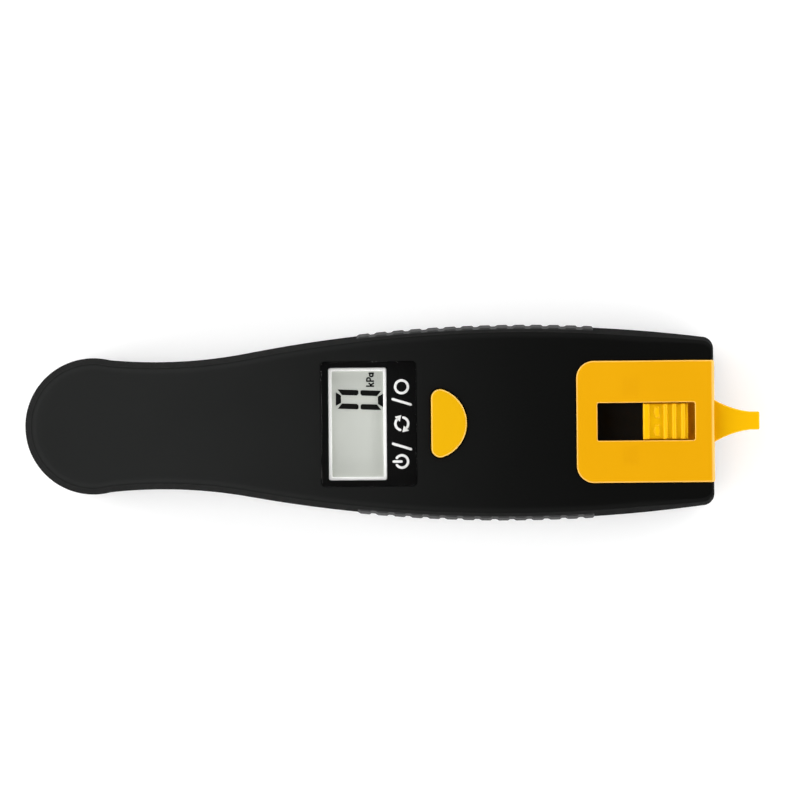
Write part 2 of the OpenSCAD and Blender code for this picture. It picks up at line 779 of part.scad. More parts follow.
// A round tube along a list of points.
module sweep(path, r, sides) {
    count = len(path);
    function unit(v) = v / norm(v);
    function heading(i) = unit(path[min(i + 1, count - 1)] - path[max(i - 1, 0)]);
    points = [for (i = [0:count - 1])
        let (h = heading(i),
             side = unit(cross(h, abs(h[0]) > 0.9 ? [0, 0, 1] : [1, 0, 0])),
             up = cross(h, side))
        each [for (k = [0:sides - 1]) let (a = 360 * k / sides) path[i] + r * (cos(a) * side + sin(a) * up)]];
    skin = [for (i = [0:count - 2], k = [0:sides - 1])
        let (a = i * sides + k, b = i * sides + (k + 1) % sides)
        each [[a, a + sides, b], [b, a + sides, b + sides]]];
    polyhedron(
        points = points,
        faces = concat([[for (k = [0:sides - 1]) k]],
            [[for (k = [sides - 1:-1:0]) (count - 1) * sides + k]], skin),
        convexity = 8
    );
}

contact_h = 8;
module contact_plate(s, t0, t1) {
    translate([s, t0, cell_z - contact_h / 2]) cube([contact_t, t1 - t0, contact_h]);
}

module bridge_contact() {
    color(steel) place() {
        contact_plate(bay_rear - contact_t, -cell_t - 4, cell_t + 4);
        coil(bay_rear, bay_rear + spring_room, cell_t);
    }
}

module positive_contact() {
    color(steel) place() contact_plate(bay_front - contact_t, cell_t - 4, cell_t + 4);
}

module negative_contact() {
    color(steel) place() {
        contact_plate(bay_front - contact_t, -cell_t - 4, -cell_t + 4);
        coil(bay_front - contact_t, bay_front - contact_t - spring_room, -cell_t);
    }
}

bay_wall_t = 1.2;
lead_r = 0.55;
// A lead leaves the top edge of its contact, clears the bay's wall and ends on the board's underside.
module battery_wires() {
    top = cell_z + contact_h / 2 + lead_r;
    board_under = board_top - board_t;
    for (side = [-1, 1]) color(side > 0 ? [0.7, 0.05, 0.04] : [0.06, 0.06, 0.06]) place() sweep([
        [bay_front - contact_t / 2, side * cell_t, top],
        [bay_front + 1.2, side * cell_t, top + 0.1],
        [bay_front + 3.5, side * (cell_t - 0.4), top + 0.6],
        [bay_front + 5.6, side * (cell_t - 1.1), (top + board_under) / 2 + 0.3],
        [bay_front + 6.8, side * (cell_t - 1.4), board_under - 1.4],
        [bay_front + 7.2, side * (cell_t - 1.5), board_under - 0.7],
        [bay_front + 7.25, side * (cell_t - 1.5), board_under]
    ], lead_r, 8);
}

// ---------- The two shells ----------
module upper_shell() {
    board_boss_top = body_h - top_wall + 0.5;
    color(black) place() difference() {
        union() {
            difference() {
                upper_outer();
                upper_inner();
            }
            for (i = [0:2]) let (p = screw_spots[i])
                post(p[0], p[1], boss_r, parting_z, body_h - fall(p[0]) - top_wall + 0.5);
            for (p = board_spots) post(p[0], p[1], board_boss_r, board_top, board_boss_top);
        }
        plate(round_rect(lens_s - fit, lens_s + lens_len + fit, lens_w + 2 * fit, lens_r + fit),
            ledge_top, body_h + over);
        plate(round_rect(window_s - fit, window_s + window_len + fit, window_w + 2 * fit, 0.6),
            body_h - top_wall - over, body_h + over);
        button_plate(slide_fit, body_h - top_wall - over, body_h + over);
        plate(panel_outline(fit, body_len + over), parting_z - over, body_h + over);
        grip_recess();
        for (i = [0:2])
            post(screw_spots[i][0], screw_spots[i][1], screw_r + thread_fit, parting_z - over, screw_tip + 0.5);
        for (p = board_spots) post(p[0], p[1], board_screw_r + thread_fit, board_top - over, board_top + 2.8);
    }
}

module lower_shell() {
    color(black) place() difference() {
        union() {
            difference() {
                lower_outer();
                lower_inner();
            }
            difference() {
                lip();
                bar(body_len - 6, body_len + over, panel_w + 3, parting_z - 2, parting_z + lip_h + over);
                for (side = [0, 1]) mirror([0, side, 0])
                    bar(mid_screw_s - tube_r, mid_screw_s + tube_r, 2 * belly_w,
                        parting_z - 0.05, parting_z + lip_h + over);
            }
            for (p = screw_spots) post(p[0], p[1], tube_r, floor_wall - 0.5, parting_z - 0.02);
            for (side = [-1, 1])
                post(socket_s, side * nozzle_screw_t, nozzle_boss_r, floor_wall - 0.5, nozzle_flange_z);
            bar(bay_front, bay_front + bay_wall_t, 2 * (cell_t + 5), floor_wall - 0.5, parting_z - 0.2);
            bar(bay_rear - contact_t - bay_wall_t, bay_rear - contact_t, 2 * (cell_t + 4),
                floor_wall - 0.5, parting_z - 0.2);
        }
        bar(bay_rear + 0.1, bay_front, 2 * (door_half_w + fit), -over, floor_wall + 0.4);
        rod_across(hinge_s, hinge_z, hinge_r + hinge_fit, 2 * (door_half_w + hinge_reach + 0.1));
        post(socket_s, 0, nozzle_r + fit, -over, nozzle_flange_z);
        grip_recess();
        for (p = screw_spots) {
            post(p[0], p[1], screw_head_r + 0.2, -over, screw_recess);
            post(p[0], p[1], screw_r + 0.15, 0, parting_z + over);
        }
        for (side = [-1, 1]) post(socket_s, side * nozzle_screw_t, nozzle_screw_r + thread_fit, floor_wall - 0.6,
            nozzle_flange_z + over);
    }
}

upper_shell();
lower_shell();
grip(0);  // grip_left
grip(1);  // grip_right
display_lens();
display_mask();
lcd_frame();
lcd_panel();
backlight_panel();
zebra_strip();
circuit_board();
controller_chip();
tact_switch();
switch_plunger();
power_button();
pressure_sensor();
air_hose();
valve_nozzle();
valve_seal();
valve_pusher();
nozzle_screws();
nose_cover();
slide_tray();
depth_slider();
detent_spring();
tray_screws();
battery_door();
cell(1, true);  // cell_left
cell(-1, false);  // cell_right
bridge_contact();
positive_contact();
negative_contact();
battery_wires();
board_screws();
case_screws();
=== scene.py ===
"""A handheld digital tyre gauge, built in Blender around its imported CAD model.

The file is a lesson in cells. Lengths are in millimetres until a mesh is made, which is then in metres.
"""

# %% [markdown]
# # The frame
# The CAD model fixes where every piece sits, so it is loaded first. The visible pieces are then rebuilt
# round it as finer surfaces, and take their places from the boxes of the CAD nodes that they stand for.

import bpy
import numpy as np
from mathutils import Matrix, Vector
from mathutils.geometry import delaunay_2d_cdt


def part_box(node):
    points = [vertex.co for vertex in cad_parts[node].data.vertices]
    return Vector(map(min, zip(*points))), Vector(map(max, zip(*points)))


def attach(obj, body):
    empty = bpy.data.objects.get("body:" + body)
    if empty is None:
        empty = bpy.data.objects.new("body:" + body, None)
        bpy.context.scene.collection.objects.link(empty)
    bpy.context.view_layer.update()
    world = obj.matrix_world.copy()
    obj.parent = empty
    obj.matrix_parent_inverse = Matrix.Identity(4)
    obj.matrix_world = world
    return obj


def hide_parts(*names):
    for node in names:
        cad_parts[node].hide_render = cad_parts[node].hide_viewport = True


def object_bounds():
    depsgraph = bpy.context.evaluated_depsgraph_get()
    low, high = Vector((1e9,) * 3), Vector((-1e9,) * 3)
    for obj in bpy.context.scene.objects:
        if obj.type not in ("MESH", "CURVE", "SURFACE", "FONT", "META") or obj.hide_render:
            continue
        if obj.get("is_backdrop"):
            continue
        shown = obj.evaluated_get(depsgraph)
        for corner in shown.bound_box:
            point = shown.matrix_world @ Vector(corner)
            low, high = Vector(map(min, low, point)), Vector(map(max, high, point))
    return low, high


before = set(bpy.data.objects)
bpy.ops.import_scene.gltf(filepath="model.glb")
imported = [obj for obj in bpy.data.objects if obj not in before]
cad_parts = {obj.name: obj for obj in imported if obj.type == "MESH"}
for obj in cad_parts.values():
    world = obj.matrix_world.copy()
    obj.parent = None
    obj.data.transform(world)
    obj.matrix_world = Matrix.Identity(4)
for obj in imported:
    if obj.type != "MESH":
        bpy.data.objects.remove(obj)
cad_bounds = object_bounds()
MM = 0.001


def span(node):
    """The lowest and highest corner of a CAD node, in millimetres."""
    low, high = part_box(node)
    return np.array(low) / MM, np.array(high) / MM


upper_low, upper_high = span("upper_shell")
REAR, NOSE = upper_low[0], upper_high[0]
TOP, PARTING = upper_high[2], upper_low[2]
print(f"housing: {NOSE - REAR:.1f} mm long, {TOP:.1f} mm high, parted at {PARTING:.1f} mm")

# %% [markdown]
# # The outline
# Seen from above, the housing is a drawn curve and not a box: a round end, a hollow waist, and a
# long full belly that ends in a flat nose. Three circles that touch each other draw it. Each
# point also keeps the direction in which it moves when the outline shrinks, and then every edge
# round is the same curve, a little further in.

# %% Measures of the housing
END_R = 15.0
WAIST_AT, WAIST_HALF, WAIST_R = 29.5, 14.0, 108.0
BELLY_AT, BELLY_HALF = NOSE - REAR - 43.7, 21.2
CORNER_R, CORNER_SHARE, CORNER_RUN = 2.6, 0.6, 12.0
CAP_GAP = 0.9
DROP, DROP_LENGTH = 4.5, 62.0
run, rise = BELLY_AT - WAIST_AT, BELLY_HALF - WAIST_HALF
BELLY_R = (run**2 + rise**2) / (2 * rise) - WAIST_R
BLEND_AT = WAIST_AT + run * WAIST_R / (WAIST_R + BELLY_R)
print(f"belly radius {BELLY_R:.0f} mm, the curves meet {BLEND_AT:.1f} mm from the rear")


def half_width(s):
    """Half the width at s: a circle's hollow side up to the blend, then another circle's full side."""
    hollow = WAIST_HALF + WAIST_R - np.sqrt(WAIST_R**2 - np.minimum(s - WAIST_AT, WAIST_R) ** 2)
    full = BELLY_HALF - BELLY_R + np.sqrt(BELLY_R**2 - (s - BELLY_AT) ** 2)
    return np.where(s < BLEND_AT, hollow, full)


def flank_normal(s):
    """The unit normal of the flank at s, from the slope of the half width over a hundredth of a mm."""
    slope = (half_width(s + 0.005) - half_width(s - 0.005)) / 0.01
    return np.stack([-slope, np.ones_like(slope)], -1) / np.sqrt(1 + slope**2)[:, None]


def fall(x):
    """How far the top face has dropped at x: a parabola that is level at DROP_LENGTH from the rear."""
    return DROP * np.clip(1 - (x - REAR) / DROP_LENGTH, 0, None) ** 2


# %% The outline and the way it shrinks
def cap_reach():
    """How far from the rear the round end meets the waist, where the two circles cross."""
    dx, dy = WAIST_AT - END_R, WAIST_HALF + WAIST_R
    gap = np.hypot(dx, dy)
    foot = (END_R**2 - WAIST_R**2 + gap**2) / (2 * gap)
    half_chord = np.sqrt(max(END_R**2 - foot**2, 0))
    return END_R + (foot * dx + half_chord * dy) / gap


def half_outline(nose_half=0.0, cap=56, flank=230, corner=14, face=12):
    """Half the outline from the rear tip to the nose: points, side shift and nose shift for each point.

    The waist starts CAP_GAP past the round end, which softens their joint. Over the last CORNER_RUN the side
    shift changes to CORNER_SHARE, and from the corner it fades to nothing at nose_half, the opening's edge.
    """
    reach = cap_reach()
    a = np.linspace(0, np.arccos(-(reach - END_R) / END_R), cap)
    p = [np.stack([END_R - END_R * np.cos(a), END_R * np.sin(a)], -1)]
    side = [np.stack([-np.cos(a), np.sin(a)], -1)]
    s = np.linspace(reach + CAP_GAP, NOSE - REAR - CORNER_R - 1, flank)
    p.append(np.stack([s, half_width(s)], -1))
    turn = np.clip((s - s[-1] + CORNER_RUN) / CORNER_RUN, 0, 1)[:, None]
    side.append(flank_normal(s) * (1 - turn) + np.array([0, CORNER_SHARE]) * turn)
    middle = np.array([NOSE - REAR - CORNER_R, half_width(NOSE - REAR - CORNER_R) - CORNER_R])
    a = np.linspace(np.pi / 2, np.arcsin(max(0, nose_half - middle[1]) / CORNER_R), corner)
    p.append(middle + CORNER_R * np.stack([np.cos(a), np.sin(a)], -1))
    y = np.linspace(p[-1][-1, 1], nose_half, face + 1)[1:] if nose_half < middle[1] else np.zeros(0)
    p.append(np.stack([np.full_like(y, NOSE - REAR), y], -1))
    y = np.concatenate(p[-2:])[:, 1]
    side.append(np.stack([0 * y, CORNER_SHARE * (y - nose_half) / (y[0] - nose_half)], -1))
    nose = np.zeros((sum(len(q) for q in p), 2))
    nose[cap:cap + flank, 0], nose[cap + flank:, 0] = turn[:, 0], 1
    points = np.concatenate(p) + [REAR, 0]
    return points, np.concatenate(side), nose


def both_sides(half):
    """The whole outline against the clock: from the nose, round the rear, and back along the right side."""
    flip = np.array([1, -1])
    return [np.concatenate([q[::-1], (q * flip)[1:]]) for q in half]


print(f"{len(half_outline()[0])} points on half of the outline")

# %% [markdown]
# # Plates with holes
# A moulded cover is a plate whose rims are rounded, with holes whose rims are rounded too. Cutting holes
# with booleans leaves ragged shading, so each cover is built whole: a profile is carried along every rim,
# and the faces between the rims are filled with Delaunay triangles. The profile may turn the corner and run
# down inside as well, so the same method makes a thin shell, a thick plate and the tube of a screw.

# %% Filling a face between its rims
MOST_PAIRS = 2_000_000


def inside(points, loops):
    """Whether each point lies inside the loops: a line to the left crosses an odd number of their edges."""
    hit = np.zeros(len(points), bool)
    for loop in loops:
        a, b = loop, np.roll(loop, -1, 0)
        blocks = max(1, len(points) * len(loop) // MOST_PAIRS)
        for block in np.array_split(np.arange(len(points)), blocks):
            x, y = points[block, 0][:, None], points[block, 1][:, None]
            spans = (a[:, 1] > y) != (b[:, 1] > y)
            with np.errstate(divide="ignore", invalid="ignore"):
                cross = a[:, 0] + (y - a[:, 1]) * (b[:, 0] - a[:, 0]) / (b[:, 1] - a[:, 1])
            hit[block] ^= (np.sum(spans & (x > cross), 1) % 2).astype(bool)
    return hit


def fill(loops, spacing):
    """Triangles between the loops, over their own points and a staggered grid of inner points.

    Grid points closer to a loop than about half the spacing are left out, so that no triangle is a sliver.
    """
    known = np.concatenate(loops)
    low, high = known.min(0), known.max(0)
    x, y = np.meshgrid(np.arange(low[0], high[0], spacing), np.arange(low[1], high[1], spacing * 0.87))
    x = x + (np.arange(x.shape[0]) % 2)[:, None] * spacing / 2
    grid = np.stack([x.ravel(), y.ravel()], -1)
    grid = grid[inside(grid, loops)] if len(grid) else grid
    blocks = np.array_split(grid, 1 + len(grid) // 400)
    near = [np.sqrt(((block[:, None] - known[None]) ** 2).sum(-1)).min(1) for block in blocks]
    grid = grid[np.concatenate(near) > 0.55 * spacing] if len(grid) else grid
    starts = np.cumsum([0] + [len(loop) for loop in loops])
    sides = [(s, i, len(loop)) for s, loop in zip(starts, loops) for i in range(len(loop))]
    edges = [(int(s + i), int(s + (i + 1) % n)) for s, i, n in sides]
    points = np.concatenate([known, grid])
    made, _, faces, origin, _, _ = delaunay_2d_cdt(points.tolist(), edges, [], 0, 1e-6)
    if len(made) != len(points):
        print(f"  note: {abs(len(made) - len(points))} points too many or too few, so rims cross or touch")
    back = np.array([o[0] if o else -1 for o in origin])
    faces = back[np.array([f for f in faces if len(f) == 3])]
    a, b, c = (points[faces[:, i]] for i in range(3))
    area = (b[:, 0] - a[:, 0]) * (c[:, 1] - a[:, 1]) - (b[:, 1] - a[:, 1]) * (c[:, 0] - a[:, 0])
    faces[area < 0] = faces[area < 0][:, ::-1]
    keep = inside((a + b + c) / 3, loops) & (np.abs(area) > 1e-9)
    return points[len(known):], faces[keep]


# %% Rims, and the solid that they bound
COARSE = 9.0


def rim(points, away, profile):
    """A rim: each profile row (inset, height) moves the outline inwards by inset, and sets its height."""
    profile = np.asarray(profile, float)
    flat = points[:, None] - profile[None, :, :1] * away[:, None]
    return np.concatenate([flat, np.broadcast_to(profile[None, :, 1:], flat.shape[:2] + (1,))], -1)


def upright(points, *heights):
    """A rim that runs straight down: the same outline at each of the heights."""
    return np.stack([np.column_stack([points, np.full(len(points), z)]) for z in heights], 1)


def solid(rims, place=None, top=None, bottom=None, spacing=1.5):
    """A closed solid: each rim's rows are joined in turn, and its first and last rows bound the end faces.

    The heights of inner points come from top(u, v) and bottom(u, v), or are level with the first rim, and
    place(u, v, h) bends it all into the room. Flat faces of small pieces need no inner points, so their
    spacing is COARSE.
    """
    verts, quads, starts, count = [], [], [], 0
    for r in rims:
        n, k = r.shape[:2]
        verts.append(r.reshape(-1, 3))
        i, j = np.meshgrid(np.arange(n), np.arange(k - 1), indexing="ij")
        a, b = count + i * k + j, count + ((i + 1) % n) * k + j
        quads.append(np.stack([a, a + 1, b + 1, b], -1).reshape(-1, 4))
        starts.append(count + np.arange(n) * k)
        count += n * k
    tris = []
    for row, height, turn in ((0, top, 1), (-1, bottom, -1)):
        inner, faces = fill([r[:, row, :2] for r in rims], spacing)
        ends = [s + (0 if row == 0 else r.shape[1] - 1) for s, r in zip(starts, rims)]
        index = np.concatenate(ends + [count + np.arange(len(inner))]).astype(int)
        level = rims[0][0, row, 2]
        h = height(inner[:, 0], inner[:, 1]) if height else np.full(len(inner), level)
        verts.append(np.column_stack([inner, h]))
        tris.append(index[faces][:, ::turn])
        count += len(inner)
    verts = np.concatenate(verts)
    if place:
        verts = place(*verts.T)
    return verts, [*np.concatenate(quads).tolist(), *np.concatenate(tris).tolist()]


# %% Outlines with rounded corners
def rounded(corners, radii, per_side=12, per_corner=8, hole=False):
    """A polygon with round corners against the clock: its points and their outward directions."""
    corners = np.asarray(corners, float)
    n = len(corners)
    radii = np.broadcast_to(np.asarray(radii, float), (n,))
    points, away = [], []
    for i in range(n):
        before, here, after = corners[i - 1], corners[i], corners[(i + 1) % n]
        u = (here - before) / np.linalg.norm(here - before)
        w = (after - here) / np.linalg.norm(after - here)
        bend = np.arctan2(u[0] * w[1] - u[1] * w[0], u @ w)
        cut = abs(radii[i] * np.tan(bend / 2))
        start = here - u * cut
        out = np.array([u[1], -u[0]])
        a = np.linspace(0, bend, per_corner)
        ca, sa = np.cos(a)[:, None], np.sin(a)[:, None]
        side = np.sign(bend)
        turned = out * ca + np.array([-out[1], out[0]]) * sa
        points.append(start - side * radii[i] * out + side * radii[i] * turned)
        away.append(turned)
        stop = after - w * abs(radii[(i + 1) % n] * np.tan(turn_of(corners, i + 1) / 2))
        t = np.linspace(0, 1, per_side + 2)[1:-1, None]
        begin = here + w * cut
        points.append(begin * (1 - t) + stop * t)
        away.append(np.tile([w[1], -w[0]], (per_side, 1)))
    points, away = np.concatenate(points), np.concatenate(away)
    return (points[::-1], -away[::-1]) if hole else (points, away)


def turn_of(corners, i):
    """The angle through which the outline turns at corner i."""
    n = len(corners)
    u = corners[i % n] - corners[(i - 1) % n]
    w = corners[(i + 1) % n] - corners[i % n]
    return np.arctan2(u[0] * w[1] - u[1] * w[0], u @ w)


def box_outline(low, high, radius, hole=False, **steps):
    """A rounded rectangle from its lowest and highest corner."""
    return rounded([low, (high[0], low[1]), high, (low[0], high[1])], radius, hole=hole, **steps)


def ring(x, y, radius, n=48, hole=False):
    """A circle: points and outward directions."""
    a = np.linspace(0, 2 * np.pi, n, endpoint=False)
    away = np.stack([np.cos(a), np.sin(a)], -1)
    points = np.array([x, y]) + radius * away
    return (points[::-1], -away[::-1]) if hole else (points, away)


def round_over(radius, height, steps=6):
    """Profile rows of a rounded rim, from the face at height down its side: a quarter circle."""
    a = np.linspace(np.pi / 2, 0, steps)
    return [(radius * (1 - np.cos(t)), height - radius * (1 - np.sin(t))) for t in a]


print("plate tools ready")

# %% [markdown]
# # Making objects
# Every finished piece is one mesh at the origin with its place in its points. Faces that meet at more than
# 28 degrees, or the angle that the piece names, keep a crisp edge. All others shade as one smooth surface.

# %% From arrays to an object
def put(name, data):
    """Makes an object of a mesh, a lamp or a camera, and links it into the scene."""
    thing = bpy.data.objects.new(name, data)
    bpy.context.collection.objects.link(thing)
    return thing


def join(*parts):
    """Several closed shapes as one mesh: their points stacked, their faces renumbered."""
    verts, faces, count = [], [], 0
    for v, f in parts:
        verts.append(v)
        faces += [[int(i) + count for i in face] for face in f]
        count += len(v)
    return np.concatenate(verts), faces


def outward(shape):
    """The shape, its faces turned over if the solid's signed volume says that they point inwards."""
    verts, faces = shape
    fan = np.array([(f[0], f[i], f[i + 1]) for f in faces for i in range(1, len(f) - 1)])
    a, b, c = (verts[fan[:, i]] for i in range(3))
    volume = np.einsum("ij,ij->i", a, np.cross(b, c)).sum()
    return verts, faces if volume > 0 else [f[::-1] for f in faces]


def piece(name, shape, material, body, node=None, crisp=28):
    """Makes the object with its finish, parents it to its body, and hides the CAD node that it stands for."""
    verts, faces = shape
    mesh = bpy.data.meshes.new(name)
    mesh.from_pydata((verts * MM).tolist(), [], faces)
    mesh.validate()
    mesh.shade_smooth()
    mesh.set_sharp_from_angle(angle=np.radians(crisp))
    mesh.materials.append(material)
    thing = put(name, mesh)
    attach(thing, body)
    if node:
        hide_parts(node)
    size = np.ptp(verts, 0)
    print(f"{name}: {len(faces)} faces, {size[0]:.1f} x {size[1]:.1f} x {size[2]:.1f} mm")


def tube(grid):
    """A closed skin over a grid: each row is a section, joined to the next, and the two ends are filled."""
    n, k = grid.shape[:2]
    i, j = np.meshgrid(np.arange(n - 1), np.arange(k), indexing="ij")
    a, b = i * k + j, i * k + (j + 1) % k
    faces = np.stack([a, b, b + k, a + k], -1).reshape(-1, 4).tolist()
    faces += [list(range(k))[::-1], list(range((n - 1) * k, n * k))]
    return outward((grid.reshape(-1, 3), faces))


print("object tools ready")

# %% [markdown]
# # Finishes
# Each finish is worked out by the surface itself, from its place in the object, so it needs no
# pictures. A shader is arithmetic, and reads best as arithmetic: the class below lets a formula
# on sockets add its own Math nodes.

# %% Shader sums as Python sums
class Value:
    """A number that varies over the surface: a socket whose sums with numbers or values add Math nodes."""

    def __init__(self, finish, socket):
        self.finish, self.socket = finish, socket

    def sum(self, operation, *others):
        return self.finish.node("ShaderNodeMath", {"operation": operation}, *others)

    def __add__(self, other):
        return self.sum("ADD", self, other)

    def __sub__(self, other):
        return self.sum("SUBTRACT", self, other)

    def __rsub__(self, other):
        return self.sum("SUBTRACT", other, self)

    def __mul__(self, other):
        return self.sum("MULTIPLY", self, other)

    __radd__, __rmul__ = __add__, __mul__

    def size(self):
        return self.sum("ABSOLUTE", self)

    def top(self, other):
        """The larger of two values."""
        return self.sum("MAXIMUM", self, other)

    def step(self, low, high):
        """0 below low, 1 above high, and a smooth rise between them."""
        settings = {"interpolation_type": "SMOOTHSTEP"}
        return self.finish.node("ShaderNodeMapRange", settings, self, low, high, 0.0, 1.0)


class Finish:
    """A material whose constant sockets are set directly, and whose varying ones are linked."""

    def __init__(self, name, **constants):
        self.material = bpy.data.materials.new(name)
        self.material.use_nodes = True
        self.tree = self.material.node_tree
        self.shader = self.tree.nodes["Principled BSDF"]
        for socket, value in constants.items():
            self.shader.inputs[socket.replace("_", " ")].default_value = value
        self.place = self.node("ShaderNodeTexCoord", {}, out="Object")

    def node(self, kind, settings, *inputs, out=0, **named):
        """Adds a node: first its settings, then its inputs in order or by name, as values or links."""
        node = self.tree.nodes.new(kind)
        for key, value in settings.items():
            setattr(node, key, value)
        slots = [s for s in node.inputs if s.enabled]
        for slot, value in [*zip(slots, inputs), *((node.inputs[k], v) for k, v in named.items())]:
            if isinstance(value, Value):
                self.tree.links.new(value.socket, slot)
            else:
                slot.default_value = value
        return Value(self, node.outputs[out])

    def noise(self, scale, detail=2.0, rough=0.5, stretch=None):
        """Noise from 0 to 1 with scale grains a metre, drawn out along an axis if stretch says so."""
        where = self.place
        if stretch:
            where = self.node("ShaderNodeMapping", {}, Vector=where, Scale=stretch)
        sockets = dict(Vector=where, Scale=scale, Detail=detail, Roughness=rough)
        return self.node("ShaderNodeTexNoise", {}, out="Fac", **sockets)

    def bands(self, direction, scale):
        """Waves from 0 to 1 across the direction X or Y."""
        settings = {"bands_direction": direction}
        return self.node("ShaderNodeTexWave", settings, out="Fac", Vector=self.place, Scale=scale)

    def axis(self, letter):
        """One coordinate of the place, in metres."""
        return self.node("ShaderNodeSeparateXYZ", {}, self.place, out=letter)

    def facing(self, letter):
        """How squarely the skin faces along an axis, either way, from 0 to 1."""
        normal = self.node("ShaderNodeTexCoord", {}, out="Normal")
        return self.node("ShaderNodeSeparateXYZ", {}, normal, out=letter).size()

    def edges(self):
        """1 where the skin faces between two axes, which is on its rounded edges, and 0 on its flat faces."""
        x, y, z = (self.facing(letter) for letter in "XYZ")
        return (1 - x.top(y).top(z)).step(0.03, 0.2)

    def walls(self):
        """1 where the skin stands upright, and 0 where it faces up or down."""
        return 1 - self.facing("Z").step(0.35, 0.9)

    def blend(self, factor, dark, light):
        """A colour between two others."""
        kind = {"data_type": "RGBA"}
        return self.node("ShaderNodeMix", kind, factor, rgba(dark), rgba(light), out=2)

    def bump(self, height, distance):
        """A normal that leans as if height, from 0 to 1, lifted the skin by distance, in metres."""
        return self.node("ShaderNodeBump", {}, Strength=1.0, Distance=distance, Height=height)

    def feed(self, **varying):
        """Links values to the shader's sockets, and gives back the finished material."""
        for socket, value in varying.items():
            self.tree.links.new(value.socket, self.shader.inputs[socket.replace("_", " ")])
        return self.material


def rgba(colour):
    """A colour with its alpha. A value that is already linked stays as it is."""
    return colour if isinstance(colour, Value) else (*colour, 1.0)


def toned(colour, factor):
    """The colour, darker or lighter by a factor."""
    return tuple(c * factor for c in colour)


# %% [markdown]
# ## Moulded plastic
# The black housing has the fine spark grain of a steel mould: bumps a few tenths of a millimetre
# wide and a few hundredths deep, over which roughness wanders slowly where hands have polished
# it. The yellow parts come from a polished mould and only show slow waves of flow. One recipe
# with different measures makes them all.

# %% Recipes for plastic and rubber
# The painted light on the black housing: full before the first X, in metres, and gone past the second.
PAINTED_LIGHT_FADE = -0.062, 0.052


def moulded(name, colour, roughness, grain, depth, drift=0.12, wave=0.0, rim=None, held=None, **more):
    """Plastic: colour drifts slowly, roughness follows the drift and fine scuffs, and grain lifts the skin.

    Where a rim colour is given, rounded edges take it as a painted highlight, lighter than the face.
    Where a colour for painted light is given, the handle end takes it as painted light, which fades towards
    the nose. Upright walls take only a quarter of it, which paints shade on them, and are rougher.
    """
    f = Finish(name, **more)
    slow = f.noise(45, 3)
    fine = f.noise(grain, 3, 0.65)
    scuffs = f.noise(260, 4, 0.7, stretch=(0.25, 1, 1)).step(0.62, 0.8)
    base = f.blend(slow, toned(colour, 1 - drift), toned(colour, 1 + drift))
    base = f.blend(scuffs * 0.25, base, toned(colour, 1.35))
    rough = slow * 0.10 + fine * 0.06 + (roughness - 0.08) - scuffs * 0.05
    # Painted light and shade: the handle end is lighter, fading towards the nose, and upright walls are
    # darker.
    if held:
        walls = f.walls()
        painted_light_mask = (1 - f.axis("X").step(*PAINTED_LIGHT_FADE)) * (1 - walls * 0.75)
        base = f.blend(painted_light_mask * (slow * 0.3 + 0.85), base, held)
        rough = rough + walls * 0.35
    # Painted highlight: rounded edges take the lighter rim colour where a gloss would catch the light.
    if rim:
        painted_edge_highlight = f.edges() * (fine * 0.3 + 0.7)
        base = f.blend(painted_edge_highlight, base, rim)
        rough = rough - painted_edge_highlight * 0.08
    height = fine + f.noise(70, 1) * wave
    return f.feed(Base_Color=base, Roughness=rough, Normal=f.bump(height, depth))


def rubber(name, colour):
    """Soft rubber: two sizes of grain, a dusty bloom that gathers in slow patches, and hardly any gloss."""
    f = Finish(name, Specular_IOR_Level=0.2)
    bloom = f.noise(120, 4, 0.7)
    grain = f.noise(5200, 2) + f.noise(1500, 2) * 0.6
    base = f.blend(bloom.step(0.35, 0.8), colour, toned(colour, 1.6))
    return f.feed(Base_Color=base, Roughness=bloom * 0.15 + 0.55, Normal=f.bump(grain, 0.00003))


# The black housing's painted light: a lighter colour at the handle end.
painted_light_and_gloss = dict(held=(0.0125, 0.013, 0.0127), Specular_IOR_Level=0.03)
black_shell = moulded("shell_black", (0.0022, 0.0023, 0.0021), 0.6, 3800, 0.000018, **painted_light_and_gloss)
black_rubber = rubber("grip_rubber", (0.0048, 0.005, 0.0049))
black_inner = moulded("inner_black", (0.003, 0.0032, 0.003), 0.6, 2600, 0.00002, Specular_IOR_Level=0.2)
sheet_yellow = dict(grain=2600, depth=0.000006, wave=1.2, drift=0.04, Specular_IOR_Level=0.12)
key_yellow = {**sheet_yellow, "depth": 0.000005, "drift": 0.035}
# The rim colours of the cover and the button are painted highlights on their rounded edges.
yellow_cover = moulded("cover_yellow", (0.613, 0.292, 0.0002), 0.42, rim=(0.68, 0.40, 0.10), **sheet_yellow)
yellow_slider = moulded("slider_yellow", (0.72, 0.385, 0.0006), 0.36, **key_yellow)
yellow_button = moulded("button_yellow", (0.605, 0.322, 0.0004), 0.40, rim=(0.68, 0.43, 0.11), **key_yellow)
white_plastic = moulded("frame_white", (0.93, 0.93, 0.91), 0.45, 3000, 0.000005, drift=0.02)
red_plastic = moulded("plunger_red", (0.3, 0.03, 0.02), 0.45, 2600, 0.00001)
black_chip = moulded("chip_black", (0.02, 0.02, 0.021), 0.6, 5200, 0.00002)

# %% [markdown]
# ## Glass, print and display
# The lens is clear acrylic over a gloss black print. Real acrylic lets light straight down to the
# display, which a refracting shader would block, so the lens is thin: mostly see-through, with
# the gloss of its front face. The liquid crystal below is a grey-green film, a little glossy,
# with a very faint weave and a soft mottling.

# %% Recipes for the display
def clear_lens():
    """Acrylic: nearly see-through, with a hard gloss that hairline scratches break here and there."""
    f = Finish("lens_clear", Base_Color=(0.02, 0.02, 0.02, 1), IOR=3.0)
    scratch = f.noise(900, 2, 0.5, stretch=(0.08, 1, 1)).step(0.71, 0.74)
    return f.feed(Alpha=scratch * 0.03 + 0.07, Roughness=scratch * 0.12 + 0.03)


